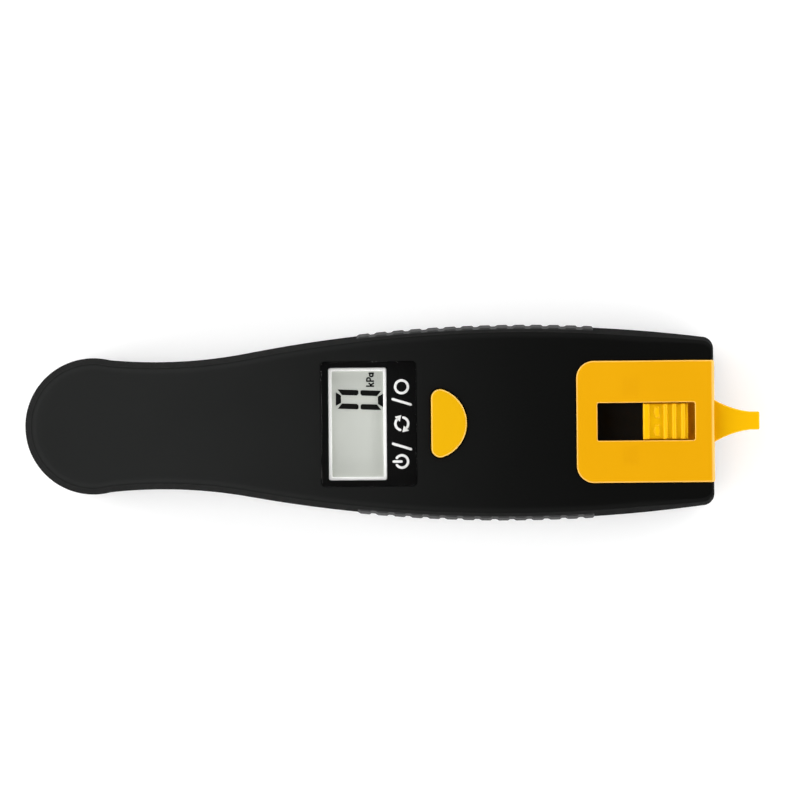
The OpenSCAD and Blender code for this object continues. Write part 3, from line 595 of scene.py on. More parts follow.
def display_film():
    """Liquid crystal: a grey-green that drifts a little, a faint fine weave, and a satin gloss."""
    f = Finish("display_film", Specular_IOR_Level=0.4)
    drift = f.noise(60, 2)
    weave = f.noise(9000, 1)
    base = f.blend(drift * 0.7 + weave * 0.3, (0.57, 0.59, 0.545), (0.62, 0.64, 0.595))
    return f.feed(Base_Color=base, Roughness=drift * 0.08 + 0.3)


def printed(name, colour, roughness, **more):
    """Screen print: an even ink, with a slight orange peel in its colour, its gloss and its skin."""
    f = Finish(name, **more)
    peel = f.noise(1400, 2)
    base = f.blend(peel, toned(colour, 0.94), toned(colour, 1.06))
    return f.feed(Base_Color=base, Roughness=peel * 0.06 + roughness, Normal=f.bump(peel, 0.000002))


lens_clear = clear_lens()
film = display_film()
black_print = printed("print_black", (0.0022, 0.0022, 0.0022), 0.12)
white_print = printed("print_white", (0.92, 0.92, 0.9), 0.4)
dark_segment = printed("segment_dark", (0.002, 0.0023, 0.002), 0.35, Specular_IOR_Level=0.15)

# %% [markdown]
# ## Metals, boards and the rest
# The inner pieces only show when the gauge comes apart, but each still gets its own finish: drawn or plated
# metal with its grain along the part, glass-fibre weave under green varnish, and the plain sleeve of a cell.

# %% Recipes for the inner pieces
def metal(name, colour, roughness, grain=(1, 1, 0.05)):
    """Plated or turned metal: fine streaks along one axis vary its gloss, and a slow stain its colour."""
    f = Finish(name, Metallic=1.0)
    streak = f.noise(2600, 3, 0.6, stretch=grain)
    stain = f.noise(300, 2)
    base = f.blend(stain, toned(colour, 0.86), colour)
    return f.feed(Base_Color=base, Roughness=streak * 0.16 + roughness, Normal=f.bump(streak, 0.000004))


def board_green():
    """Green varnish over copper tracks and glass weave: the weave is a crossed pair of fine waves."""
    f = Finish("board_green", Coat_Weight=0.4, Coat_Roughness=0.2)
    weave = f.bands("X", 420.0) * f.bands("Y", 420.0)
    tracks = f.noise(340, 0, stretch=(0.3, 1, 1)).step(0.52, 0.54)
    base = f.blend(tracks, (0.006, 0.085, 0.028), (0.012, 0.15, 0.045))
    return f.feed(Base_Color=base, Roughness=weave * 0.1 + 0.35, Normal=f.bump(weave + tracks, 0.00002))


def striped_rubber():
    """Layers of conductive and plain rubber, as stripes a quarter of a millimetre wide across the strip."""
    f = Finish("zebra_rubber")
    bands = f.bands("Y", 640.0)
    base = f.blend(bands.step(0.45, 0.55), (0.03, 0.02, 0.02), (0.62, 0.30, 0.34))
    return f.feed(Base_Color=base, Roughness=bands * 0.1 + 0.6)


def cell_sleeve():
    """A plain cell: a grey sleeve with a white band near one end, and a slightly wavy gloss."""
    f = Finish("cell_sleeve", Coat_Weight=0.5, Coat_Roughness=0.12)
    along = f.axis("X") - span("cell_left")[0][0] * MM
    band = along.step(0.0340, 0.0341) - along.step(0.0380, 0.0381)
    grain = f.noise(900, 2)
    base = f.blend(band, (0.16, 0.19, 0.21), (0.8, 0.8, 0.78))
    return f.feed(Base_Color=base, Roughness=grain * 0.08 + 0.28)


steel = metal("steel_plated", (0.62, 0.62, 0.61), 0.24)
brass = metal("brass_turned", (0.72, 0.48, 0.19), 0.22)
spring_steel = metal("steel_spring", (0.5, 0.51, 0.52), 0.3, grain=(0.05, 1, 1))
pale_case = moulded("sensor_case", (0.68, 0.67, 0.62), 0.5, 3200, 0.00001)
silicone = moulded("hose_silicone", (0.62, 0.61, 0.56), 0.4, 1800, 0.00001, Subsurface_Weight=0.3)
milky = moulded("light_guide", (0.85, 0.85, 0.82), 0.3, 2000, 0.000005, Subsurface_Weight=0.3)
seal_rubber = rubber("seal_rubber", (0.012, 0.012, 0.012))
red_wire = moulded("wire_sleeve", (0.33, 0.02, 0.015), 0.4, 2400, 0.00001)
stays = {
    "backlight_panel": milky, "zebra_strip": striped_rubber(), "circuit_board": board_green(),
    "controller_chip": black_chip, "tact_switch": black_chip, "switch_plunger": red_plastic,
    "pressure_sensor": pale_case, "air_hose": silicone, "valve_nozzle": yellow_cover,
    "valve_seal": seal_rubber, "valve_pusher": brass, "nozzle_screws": steel, "detent_spring": spring_steel,
    "tray_screws": steel, "cell_left": cell_sleeve(), "cell_right": cell_sleeve(),
    "bridge_contact": spring_steel, "positive_contact": spring_steel, "negative_contact": spring_steel,
    "battery_wires": red_wire, "board_screws": steel, "case_screws": steel,
}
for node, material in stays.items():
    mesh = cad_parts[node].data
    mesh.materials.clear()
    mesh.materials.append(material)
print(f"{len(bpy.data.materials)} materials, {len(stays)} CAD pieces keep their own shape")

# %% [markdown]
# # The upper shell
# The top face drops towards the rear end, and meets its rounded flank at a soft crease. The flank leans
# out to the parting line, turns under in a small round, and comes back up inside as the wall. The
# panel's notch breaks through the nose, so the rim runs into it and out again, and its profile changes
# there from a flank to a straight edge.

# %% Measures of the shells
EDGE_R, DRAFT = 1.4, 1.3
BOTTOM_R, BOTTOM_DRAFT = 4.0, 0.3
WALL, TOP_WALL, FLOOR = 2.0, 2.2, 2.0
NOSE_SHARE = 0.25
LIP, PARTING_ROUND = 0.3, ((0.1, 0.09), (0.28, 0.01), (WALL, 0.01))
CREASE = np.radians(64)
cover_low, cover_high = span("nose_cover")
lens_low, lens_high = span("display_lens")
mask_low, _ = span("display_mask")
button_low, button_high = span("power_button")
PANEL_HALF, PANEL_R, GAP = 13.4, 3.8, 0.1
PANEL_AT = NOSE - 30.3
NOTCH_R, NOTCH_ROWS = 0.22, 6
WINDOW_HALF, WINDOW_AT, WINDOW_LEN = 12.4, lens_low[0] + 1.6, 12.9
D_R, D_CORNER, D_AT, D_GAP = 7.85, 2.0, lens_high[0] + 3.2, 0.2


def top_profile():
    """Rows of (side inset, nose inset, height, share of the fall): round, flank, parting edge, wall."""
    a = np.linspace(CREASE, 0, 9)
    turn = (1 - np.cos(a)) / (1 - np.cos(CREASE))
    rise = np.sin(a) / np.sin(CREASE)
    rows = [(DRAFT + EDGE_R * t, None, TOP - EDGE_R * (1 - r), 1) for t, r in zip(turn, rise)]
    for u in np.linspace(0, 1, 8)[1:-1]:
        rows.append((DRAFT * (1 - u), None, TOP - EDGE_R + (PARTING + LIP - TOP + EDGE_R) * u, 1 - u))
    rows.append((0.02, 0.02, PARTING + LIP, 0))
    rows += [(inset, inset, PARTING + gap, 0) for inset, gap in PARTING_ROUND]
    rows.append((WALL, WALL, PARTING + 1.4, 0))
    inner, ceiling = WALL + DRAFT, TOP - TOP_WALL
    rows += [(inner, WALL + 0.4, ceiling - 0.6, 1), (inner + 0.6, WALL + 1, ceiling, 1)]
    return np.array([(d, d * NOSE_SHARE if e is None else e, z, f) for d, e, z, f in rows])


def skin(outline, profile):
    """Carries profile rows of (side inset, nose inset, height, share of the fall) round the outline."""
    points, side, nose = outline
    d, e, z, share = (profile[:, i][None, :, None] for i in range(4))
    flat = points[:, None] - d * side[:, None] - e * nose[:, None]
    height = z[..., 0] - share[..., 0] * fall(flat[..., 0])
    return np.concatenate([flat, height[..., None]], -1)


def notch(rows):
    """The panel's notch as part of the rim: it runs in and out again, with a rounded straight edge.

    Its two end sections step back to the nose's own wall: outer rows a little, inner ones past the wall.
    """
    x, y = PANEL_AT - GAP, PANEL_HALF + GAP
    points, away = rounded([(x, -y), (NOSE + 9, -y), (NOSE + 9, y), (x, y)], PANEL_R + GAP, 40, 16, hole=True)
    keep = points[:, 0] < NOSE - 3.3
    points, away = points[keep], away[keep]
    first = np.argmin(np.where(points[:, 1] < 0, -points[:, 0], NOSE))
    points, away = np.roll(points, -first, 0), np.roll(away, -first, 0)
    edge = round_over(NOTCH_R, TOP, NOTCH_ROWS)
    down = np.linspace(TOP - NOTCH_R, TOP - TOP_WALL, rows - NOTCH_ROWS + 1)[1:]
    run = rim(points, away, edge + [(0, z) for z in down])
    ends = run[[0, -1]].copy()
    ends[:, :NOTCH_ROWS, 0], ends[:, NOTCH_ROWS:, 0] = NOSE - 0.9, NOSE - 3.15
    return np.concatenate([ends[:1], run, ends[1:]])


# %% Build the upper shell
top_rows = top_profile()
shell_rim = skin(both_sides(half_outline(PANEL_HALF + GAP)), top_rows)
shell_rim = np.concatenate([shell_rim, notch(len(top_rows))])
steps = dict(per_side=30, per_corner=9, hole=True)
pocket, pocket_out = box_outline(lens_low[:2] - GAP, lens_high[:2] + GAP, 1.1, **steps)
window_low = np.array([WINDOW_AT, -WINDOW_HALF])
window_high = np.array([WINDOW_AT + WINDOW_LEN, WINDOW_HALF])
window, _ = box_outline(window_low - GAP, window_high + GAP, 0.6, **steps)
pocket_rim = rim(pocket, pocket_out, round_over(0.15, TOP, 4) + [(0, mask_low[2])])
window_rim = upright(window, mask_low[2], TOP - TOP_WALL)


def d_outline(grow, hole=False, n=56):
    """The half-round button's outline, grown: a large arc between two small corners, and a flat side."""
    y = np.sqrt((D_R - D_CORNER) ** 2 - D_CORNER**2)
    lean = np.arctan2(y, D_CORNER)

    def bow(x, y, radius, start, stop, n):
        a = np.linspace(start, stop, n)
        return np.stack([x + (radius + grow) * np.cos(a), y + (radius + grow) * np.sin(a)], -1)

    upper = bow(D_CORNER, y, D_CORNER, lean, np.pi, n // 4)[1:]
    lower = bow(D_CORNER, -y, D_CORNER, np.pi, 2 * np.pi - lean, n // 4)[:-1]
    flat = np.linspace(upper[-1], lower[0], 14)[1:-1]
    points = np.concatenate([bow(0, 0, D_R, -lean, lean, n), upper, flat, lower]) + [D_AT, 0]
    return points[::-1] if hole else points


def d_rim(profile, hole=False):
    """A rim round the button's outline: each profile row is (growth, height)."""
    return np.concatenate([upright(d_outline(growth, hole), z) for growth, z in profile], 1)


hole_edge = [(D_GAP + inset, z) for inset, z in round_over(0.22, TOP, 5)] + [(D_GAP, TOP - TOP_WALL)]
rims = [shell_rim, np.concatenate([pocket_rim, window_rim], 1), d_rim(hole_edge, hole=True)]
levels = dict(top=lambda x, y: TOP - fall(x), bottom=lambda x, y: TOP - TOP_WALL - fall(x))
cover = solid(rims, spacing=1.3, **levels)
piece("shell_top", cover, black_shell, "housing", "upper_shell", crisp=24)

# %% [markdown]
# # The lower shell
# It is the same outline with a larger round at the bottom. The battery bay fills most of the waist, so the
# round shrinks to half its width from there to the rear. Three of the screw holes run into that round, so
# all five are drilled through the finished solid, and each gets the tube that its screw runs through.

# %% Build the lower shell
door_low, door_high = span("battery_door")
_, screw_high = span("case_screws")
SOCKET_AT = NOSE - 20.5
NOZZLE_R, HEAD_R, SHANK_R, BOSS_R = 6.6, 2.2, 1.25, 3.0
HEAD_DEPTH, BAY_HALF = 4.0, 11.0
SLIM_END, SLIM_FADE = 76.0, 15.0
screw_rows = ((REAR + 63.0, screw_high[1] - 2.0), (NOSE - 8.5, 10.9))
screw_spots = [(REAR + 6.6, 0), *((x, side * y) for x, y in screw_rows for side in (1, -1))]


def bottom_profile():
    """Rows of (side inset, nose inset, height, 0): the bottom's round, flank, parting edge and wall."""
    a = np.linspace(0, np.pi / 2, 12)
    rows = [(BOTTOM_DRAFT + BOTTOM_R * (1 - np.sin(t)), None, BOTTOM_R * (1 - np.cos(t))) for t in a]
    flank = PARTING - LIP - BOTTOM_R
    rows += [(BOTTOM_DRAFT * (1 - u), None, BOTTOM_R + flank * u) for u in (0.35, 0.7, 1)]
    rows += [(inset, inset, PARTING - gap) for inset, gap in PARTING_ROUND]
    a = np.linspace(0, np.pi / 2, 6)
    inner, inset = BOTTOM_R - FLOOR, WALL + BOTTOM_DRAFT
    rows += [(inset + inner * (1 - np.cos(t)), WALL + 0.5, FLOOR + inner * (1 - np.sin(t))) for t in a]
    return np.array([(d, d * NOSE_SHARE if e is None else e, z, 0) for d, e, z in rows])


def screw_tube(x, y):
    """The tube round a screw: a ring between two circles, the inner one wide below a ledge."""
    top, ledge, foot, wide = PARTING - 0.05, HEAD_DEPTH - 0.02, FLOOR - 0.1, HEAD_R - SHANK_R
    outer = rim(*ring(x, y, BOSS_R, 40), [(0, top), (0, foot)])
    bore = ring(x, y, SHANK_R, 40, hole=True)
    return solid([outer, rim(*bore, [(0, top), (0, ledge), (wide, ledge), (wide, foot)])], spacing=COARSE)


def cut(shape, tools):
    """Takes the tools away from the shape with an exact boolean, and returns what is left as a shape."""
    things = []
    for name, (verts, faces) in (("whole", shape), ("tools", tools)):
        mesh = bpy.data.meshes.new(name)
        mesh.from_pydata(verts.tolist(), [], faces)
        things.append(put(name, mesh))
    whole, tool = things
    modifier = whole.modifiers.new("cut", "BOOLEAN")
    modifier.operation, modifier.solver, modifier.object = "DIFFERENCE", "EXACT", tool
    result = whole.evaluated_get(bpy.context.evaluated_depsgraph_get()).to_mesh()
    left = np.array([v.co for v in result.vertices]), [list(f.vertices) for f in result.polygons]
    for thing in things:
        mesh = thing.data
        bpy.data.objects.remove(thing)
        bpy.data.meshes.remove(mesh)
    return left


def smooth(u):
    """0 below 0, 1 above 1, and uu(3 - 2u) between them."""
    u = np.clip(u, 0, 1)
    return u * u * (3 - 2 * u)


points, side, nose = both_sides(half_outline())
slim = smooth((SLIM_END - (points[:, 0] - REAR)) / SLIM_FADE)[:, None]
body_rim = skin((points, side * (1 - 0.5 * slim), nose), bottom_profile())
bay_low, bay_high = (door_low[0] - GAP, -BAY_HALF), (door_high[0] + GAP, BAY_HALF)
bay, bay_out = box_outline(bay_low, bay_high, 0.5, per_side=24, hole=True)
socket, socket_out = ring(SOCKET_AT, 0, NOZZLE_R + GAP, 72, hole=True)
edge = [(0.15, 0), (0, 0.15), (0, FLOOR)]
rims = [body_rim, rim(bay, bay_out, edge), rim(socket, socket_out, edge)]
drill_edge = [(0, HEAD_DEPTH), (0, -1.0)]
drills = join(*(solid([rim(*ring(x, y, HEAD_R), drill_edge)], spacing=COARSE) for x, y in screw_spots))
drilled = cut(outward(solid(rims, spacing=1.6)), drills)
tubes = [screw_tube(x, y) for x, y in screw_spots]
piece("shell_bottom", join(drilled, *tubes), black_shell, "housing", "lower_shell", crisp=24)

# %% [markdown]
# # The side grips
# Each grip is a strip of soft rubber laid over the parting line. Its ribs run up the flank: the
# crown of each rib is broad and the groove is narrow, with soft shoulders, and all four edges
# of the strip sink into the housing.

# %% Build the grips
grip_low, grip_high = span("grip_left")
GRIP_START, GRIP_END = grip_low[0], grip_high[0]
GRIP_RIBS, GROOVE, RIB, BED, SUNK = 14, 0.28, 0.35, 0.05, 0.3
PITCH = (GRIP_END - GRIP_START) / GRIP_RIBS


def flank_inset(z):
    """How far the skin lies inside the outline at height z: a line below the parting and a line above it."""
    below = BOTTOM_DRAFT * (PARTING - z) / (PARTING - BOTTOM_R)
    return np.where(z < PARTING, below, DRAFT * (z - PARTING) / (TOP - EDGE_R - PARTING))


def rib_height(s, z):
    """Height over the skin: in each pitch a groove and then a flat crown, with edges that sink away."""
    u = ((s - GRIP_START) / PITCH) % 1
    crown = smooth((u - GROOVE + 0.1) / 0.2) * (1 - smooth((u - 0.86) / 0.14))
    edge = smooth((s - GRIP_START) / 0.9) * smooth((GRIP_END - s) / 0.9)
    edge = edge * smooth((z - grip_low[2]) / 1.0) * smooth((grip_high[2] - z) / 1.0)
    return (BED + (RIB - BED) * crown + SUNK) * edge - SUNK


def grip(side):
    """A grid of sections along the strip: each goes up the outer face and down the inner one."""
    s = np.linspace(GRIP_START, GRIP_END, 560)
    z = np.linspace(grip_low[2], grip_high[2], 34)
    base = np.stack([s - REAR, half_width(s - REAR)], -1)
    normal = flank_normal(s - REAR)
    proud = rib_height(s[:, None], z[None])
    shift = proud - flank_inset(z)[None]
    outer = base[:, None] + shift[..., None] * normal[:, None]
    inner = base[:, None] - (flank_inset(z)[None, ::-1] + 0.9)[..., None] * normal[:, None]
    flat = np.concatenate([outer, inner], 1)
    heights = np.broadcast_to(np.concatenate([z, z[::-1]]), flat.shape[:2])
    grid = np.stack([flat[..., 0] + REAR, side * flat[..., 1], heights], -1)
    return tube(grid)


piece("grip_left_ribs", grip(1), black_rubber, "housing", "grip_left", crisp=40)
piece("grip_right_ribs", grip(-1), black_rubber, "housing", "grip_right", crisp=40)

# %% [markdown]
# # The display
# From the top down: the clear lens, the gloss black print that frames the window, the white frame that holds
# the glass, and the liquid crystal panel with its digit. Segments are their own thin solids a little above
# the film, as the real ones lie in the glass, so they cast the faint second image that such a display has.

# %% Lens, print, frame and film
glass_low, glass_high = span("lcd_panel")
white_low, white_high = span("lcd_frame")
RIM, LOOSE = 0.8, 0.02
FLANGE_OUT, SEAT_IN = 0.9, 0.6


def slab(outline, low, high, radius, holes=()):
    """A flat plate from low to high whose upper edge is rounded. Holes are cut straight through it."""
    points, away = outline
    rims = [rim(points, away, round_over(radius, high, 5) + [(0, low)])]
    rims += [rim(*hole, [(0, high), (0, low)]) for hole in holes]
    return solid(rims, spacing=3.0)


lens_outline = box_outline(lens_low[:2], lens_high[:2], 1.0, per_side=24)
lens_shape = slab(lens_outline, lens_low[2], lens_high[2], 0.2)
piece("lens", lens_shape, lens_clear, "housing", "display_lens")
window_edge = box_outline(window_low, window_high, 0.6, hole=True)
print_shape = slab(lens_outline, mask_low[2], lens_low[2] - 0.03, 0.01, holes=[window_edge])
piece("lens_print", print_shape, black_print, "housing", "display_mask")
frame_edge = box_outline(window_low + LOOSE, window_high - LOOSE, 0.5)
glass_edge = box_outline(window_low + RIM, window_high - RIM, 0.3, hole=True)
base, seat, foot = TOP - TOP_WALL - 0.05, glass_high[2] + LOOSE, white_low[2]
soft = round_over(0.2, white_high[2], 4)
white_frame = solid([
    rim(*frame_edge, soft + [(0, base), (-FLANGE_OUT, base), (-FLANGE_OUT, foot)]),
    rim(*glass_edge, soft + [(0, seat), (SEAT_IN, seat), (SEAT_IN, foot)]),
], spacing=3.0)
piece("display_frame", outward(white_frame), white_plastic, "housing", "lcd_frame")
film_shape = slab(box_outline(glass_low[:2], glass_high[:2], 0.2), glass_low[2], glass_high[2], 0.05)
piece("display_glass", film_shape, film, "housing", "lcd_panel")

# %% [markdown]
# ## Digit and symbols
# A stroke is a flat ribbon with round ends that is carried along a path. The digit's segments are
# thin bars with slanted ends. Both are drawn in reading coordinates, right and up, and then turned to
# the direction in which the display reads.

# %% Strokes
def ribbon(path, width, low, high, closed=False):
    """A flat ribbon along a path: two sides offset by half the width, and round ends if it is open."""
    path = np.asarray(path, float)
    ahead = np.roll(path, -1, 0) - np.roll(path, 1, 0) if closed else np.gradient(path, axis=0)
    ahead /= np.linalg.norm(ahead, axis=1)[:, None]
    out = np.stack([ahead[:, 1], -ahead[:, 0]], -1) * width / 2
    if closed:
        loops = [(path + out), (path - out)[::-1]]
    else:
        a = np.linspace(0, np.pi, 8)[1:-1, None]
        tip = path[-1] + out[-1] * np.cos(a) + ahead[-1] * np.sin(a) * width / 2
        tail = path[0] - out[0] * np.cos(a) - ahead[0] * np.sin(a) * width / 2
        loops = [np.concatenate([path + out, tip, (path - out)[::-1], tail])]
    return solid([upright(loop, high, low) for loop in loops], spacing=COARSE)


def arc(x, y, radius, start, stop, n=20):
    """Points on a circle about (x, y), from one angle to another in degrees."""
    a = np.radians(np.linspace(start, stop, n))
    return np.stack([x + radius * np.cos(a), y + radius * np.sin(a)], -1)


def line(start, stop, n=6):
    """Evenly spaced points from start to stop."""
    return np.linspace(start, stop, n)


def reading(shape, x, y):
    """Turns a shape from reading coordinates, right and up, to the display's: right is +Y and up is -X."""
    verts, faces = shape
    turned = np.stack([x - verts[:, 1], y + verts[:, 0], verts[:, 2]], -1)
    return outward((turned, faces))


# %% The digit
BAR, DIGIT_W, DIGIT_H, SLANT = 1.2, 4.25, 10.4, 0.04
DIGIT_SPOT, UNIT_SPOT, SIGNS_SPOT = (REAR + 78.8, 3.0), (REAR + 76.7, 8.3), (REAR + 84.5, 0.0)
seg_low, seg_high = glass_high[2] + 0.01, glass_high[2] + 0.035


def flat_shape(corners):
    """A thin solid from its outline, leaned with the digit."""
    corners = np.array(corners, float)
    corners[:, 0] += SLANT * corners[:, 1]
    return solid([upright(corners, seg_high, seg_low)], spacing=COARSE)


def cross_bar(flip):
    """The bar over or under the digit: its ends are cut at a slant, so that its inner side is shorter."""
    corners = [(0.62, 0), (DIGIT_W - 0.62, 0), (DIGIT_W - BAR - 0.12, BAR - 0.05), (BAR + 0.12, BAR - 0.05)]
    return flat_shape([(x, DIGIT_H - y) for x, y in corners[::-1]] if flip else corners)


def side_bar(right, upper):
    """One of the four upright bars: cut at a slant near the corner of the digit, and blunt in the middle."""
    half = DIGIT_H / 2
    inner = [(0, 0.42), (BAR, 1.35), (BAR, half - 0.55)]
    corners = [*inner, (BAR * 0.72, half - 0.22), (0.2, half - 0.22), (0, half - 0.5)]
    corners = [(DIGIT_W - x if right else x, DIGIT_H - y if upper else y) for x, y in corners]
    return flat_shape(corners if right == upper else corners[::-1])


either = (False, True)
bars = [cross_bar(flip) for flip in either] + [side_bar(right, upper) for right in either for upper in either]
digit = reading(join(*(outward(shape) for shape in bars)), *DIGIT_SPOT)
UNIT_W = 0.34
unit_print = dict(width=UNIT_W, low=seg_low, high=seg_high)
k_strokes = [line((0, 0), (0, 1.5)), line((0.62, 0.95), (0.08, 0.45)), line((0.25, 0.6), (0.66, 0))]
p_over, p_under = line((1.2, 1.45), (1.45, 1.45)), line((1.45, 0.69), (1.2, 0.69))
p_bow = np.concatenate([p_over[:-1], arc(1.45, 1.07, 0.38, 90, -90), p_under[1:]])
p_strokes = [line((1.1, 0), (1.1, 1.45)), p_bow]
letters = [ribbon(stroke, **unit_print) for stroke in [*k_strokes, *p_strokes, line((2.83, 0.92), (2.83, 0))]]
bowl = ribbon(arc(2.45, 0.45, 0.36, 0, 360, 29)[:-1], closed=True, **unit_print)
unit = reading(join(*letters, bowl), *UNIT_SPOT)
piece("display_digit", digit, dark_segment, "housing")
piece("display_unit", unit, dark_segment, "housing")

# %% Symbols for on, unit and off
PRINT_W, SIGN_R, SIGN_Y, ARROW = 0.55, 1.4, 1.65, 1.25
print_low, print_high = lens_low[2] - 0.04, lens_low[2] - 0.015


def arrow(angle):
    """A solid arrow head at the end of an arc of SIGN_R that runs clockwise about (0, SIGN_Y)."""
    a = np.radians(angle)
    out, ahead = np.array([np.cos(a), np.sin(a)]), np.array([np.sin(a), -np.cos(a)])
    foot = np.array([0, SIGN_Y]) + SIGN_R * out
    half = out * ARROW * 0.62
    corners = np.array([foot - half, foot + ahead * ARROW, foot + half])
    return solid([upright(corners, print_high, print_low)], spacing=COARSE)


ink = dict(width=PRINT_W, low=print_low, high=print_high)
power_sign = [arc(-8.3, 1.7, 1.35, 125, 415, 40), line((-8.3, 1.8), (-8.3, 3.5))]
turning_sign = [arc(0, SIGN_Y, SIGN_R, 165, 48, 24), arc(0, SIGN_Y, SIGN_R, -15, -132, 24)]
dividers = [line((x, -0.3), (x + 1.2, 3.6)) for x in (-5.6, 4.2)]
off_sign = ribbon(arc(8.1, SIGN_Y, SIGN_R, 0, 360, 49)[:-1], closed=True, **ink)
strokes = [ribbon(stroke, **ink) for stroke in power_sign + dividers[:1] + turning_sign + dividers[1:]]
signs = join(*strokes, off_sign, arrow(45), arrow(-135))
piece("lens_symbols", reading(signs, *SIGNS_SPOT), white_print, "housing")

# %% [markdown]
# # The power button
# A half-round key: its flat side faces the display. The rim is rounded, so it catches more light than the
# face. The flange under it keeps it in the housing, and a post carries the press down to the switch.

# %% Build the button
plunger_low, plunger_high = span("switch_plunger")
post_at = (plunger_low[0] + plunger_high[0]) / 2
KEY_R, FLANGE, FLANGE_T, POST_R = 0.45, 1.0, 0.9, 1.5
flange_top = button_high[2] - 2.95
key_edge = [(-inset, z) for inset, z in round_over(KEY_R, button_high[2], 8)]
key_rim = d_rim([*key_edge, (0, flange_top), (FLANGE, flange_top), (FLANGE, flange_top - FLANGE_T)])
key = solid([key_rim], spacing=1.4)
post_edge = [(0, flange_top - FLANGE_T + 0.05), (0, button_low[2])]
post = solid([rim(*ring(post_at, 0, POST_R, 40), post_edge)], spacing=COARSE)
piece("button_key", join(key, post), yellow_button, "button", "power_button", crisp=35)

# %% [markdown]
# # The nose cover
# The yellow cover is a sheet that runs along the top, bends over the front edge and goes down the nose. It
# is drawn flat, with l along the sheet and v across it, and then bent: over the arc, the distance along the
# sheet turns into an angle, and the height over the sheet adds to the radius. Its openings have collars that
# go deeper than the sheet. Three short raised ticks stand on each side of the slot.

# %% Build the nose cover
tray_low, tray_high = span("slide_tray")
slider_low, slider_high = span("depth_slider")
BEND_R, SHEET, COLLAR, NOSE_WALL = 1.0, 0.9, 2.6, 1.8
COVER_AT, COVER_TOP = PANEL_AT, cover_high[2]
FLAT = NOSE - BEND_R - COVER_AT
ARC = BEND_R * np.pi / 2
SLOT_AT, SLOT_LEN, SLOT_HALF = NOSE - 25.7, 21.4, 4.15
MOUTH_HALF, MOUTH_LOW, MOUTH_TOP = 4.8, COVER_TOP - 5.5, COVER_TOP - 2.6
TICKS = 19.7, 18.5, 17.3


def bent(l, v, h):
    """Carries (l, v, h) onto the bent sheet: flat, an arc about the axis under the front edge, then down."""
    turn = np.clip((l - FLAT) / BEND_R, 0, np.pi / 2)
    down = np.clip(l - FLAT - ARC, 0, None)
    reach = (BEND_R + h) * np.sin(turn)
    rise = (BEND_R + h) * np.cos(turn) - BEND_R
    return np.stack([COVER_AT + np.minimum(l, FLAT) + reach, v, COVER_TOP + rise - down], -1)


def on_sheet(z):
    """The distance along the sheet at which its front face passes height z."""
    return FLAT + ARC + COVER_TOP - BEND_R - z


def deep_edge(radius, depth, steps, thick):
    """Profile rows of an opening with a collar: round edge, down to depth, out by thick, up to the sheet."""
    return round_over(radius, 0, steps) + [(0, -depth), (thick, -depth), (thick, -SHEET)]


end = on_sheet(cover_low[2])
corners = [(0, -PANEL_HALF), (end, -PANEL_HALF), (end, PANEL_HALF), (0, PANEL_HALF)]
sheet = rounded(corners, [PANEL_R, 0.7, 0.7, PANEL_R], per_side=90, per_corner=18)
slot_low = np.array([SLOT_AT - COVER_AT, -SLOT_HALF])
slot = box_outline(slot_low, slot_low + [SLOT_LEN, 2 * SLOT_HALF], 0.35, hole=True, per_side=30)
mouth_low, mouth_high = (on_sheet(MOUTH_TOP), -MOUTH_HALF), (on_sheet(MOUTH_LOW), MOUTH_HALF)
mouth = box_outline(mouth_low, mouth_high, 0.3, hole=True, per_side=16)
rims = [rim(*sheet, round_over(0.45, 0, 7) + [(0, -SHEET)]), rim(*slot, deep_edge(0.32, COLLAR, 6, 0.9)),
        rim(*mouth, deep_edge(0.15, NOSE_WALL, 4, 0.5))]
bent_sheet = outward(solid(rims, place=bent, spacing=0.5))
paths = [line((NOSE - back, side * 5.6), (NOSE - back, side * 9.2)) for back in TICKS for side in (-1, 1)]
ticks = [ribbon(path, 0.3, COVER_TOP - 0.1, COVER_TOP + 0.04) for path in paths]
piece("cover_yellow", join(bent_sheet, *ticks), yellow_cover, "housing", "nose_cover", crisp=35)

# %% [markdown]
# # The slide tray
# Under the slot lies a black channel in which the slider runs. Only its floor shows, through
# the open end of the slot.

# %% Build the tray
TRAY_FLOOR, RAIL, RAIL_LEN = COVER_TOP - 5.45, 1.3, 3.0


def block(low, high, radius=0.3, edge=0.15):
    """A plain box with rounded upright corners and a softened upper edge."""
    return slab(box_outline(low[:2], high[:2], radius), low[2], high[2], edge)


(rear, right, _), (front, left, rail_top) = tray_low, tray_high
rail_low = TRAY_FLOOR - 0.1
tray = join(
    block(tray_low, (front, left, TRAY_FLOOR), 0.6, 0.05),
    block((rear, right, rail_low), (rear + RAIL_LEN, left, rail_top)),
    block((rear, right, rail_low), (front, right + RAIL, rail_top)),
    block((rear, left - RAIL, rail_low), (front, left, rail_top)))
piece("tray_channel", tray, black_inner, "housing", "slide_tray")

# %% [markdown]
# # The slider and its probe
# A flat slab runs in the tray and leaves the nose as the probe, which narrows along a hollow
# curve. The thumb pad stands on it. The pad's top is a height field: a raised step at its rear,
# two arrow heads, and three round ribs.

# %% Build the slab and probe
SLAB_TOP = slider_high[2] - 2.6
SLAB_LOW, SLAB_HALF = slider_low[2], slider_high[1]
PAD_AT, PAD_LEN, PAD_HALF = slider_low[0], 9.9, 3.95
PAD_TOP, PAD_R = TOP - 0.3, 0.35
RIB_FIRST, RIB_PITCH, RIB_R = 1.1, 1.93, 0.5
SHOULDER = NOSE - 3.4
NECK_HALF, TIP_R = 4.6, 0.4
FLARE = np.array([[NOSE + 0.1, NECK_HALF], [NOSE + 3.76, 2.48], [NOSE + 7.82, 2.0]])


def flare(n=24):
    """A curve of the second degree: the three points, weighted by (1-u)(1-u), 2u(1-u) and uu."""
    u = np.linspace(0, 1, n)[:, None]
    return (1 - u) ** 2 * FLARE[0] + 2 * u * (1 - u) * FLARE[1] + u**2 * FLARE[2]


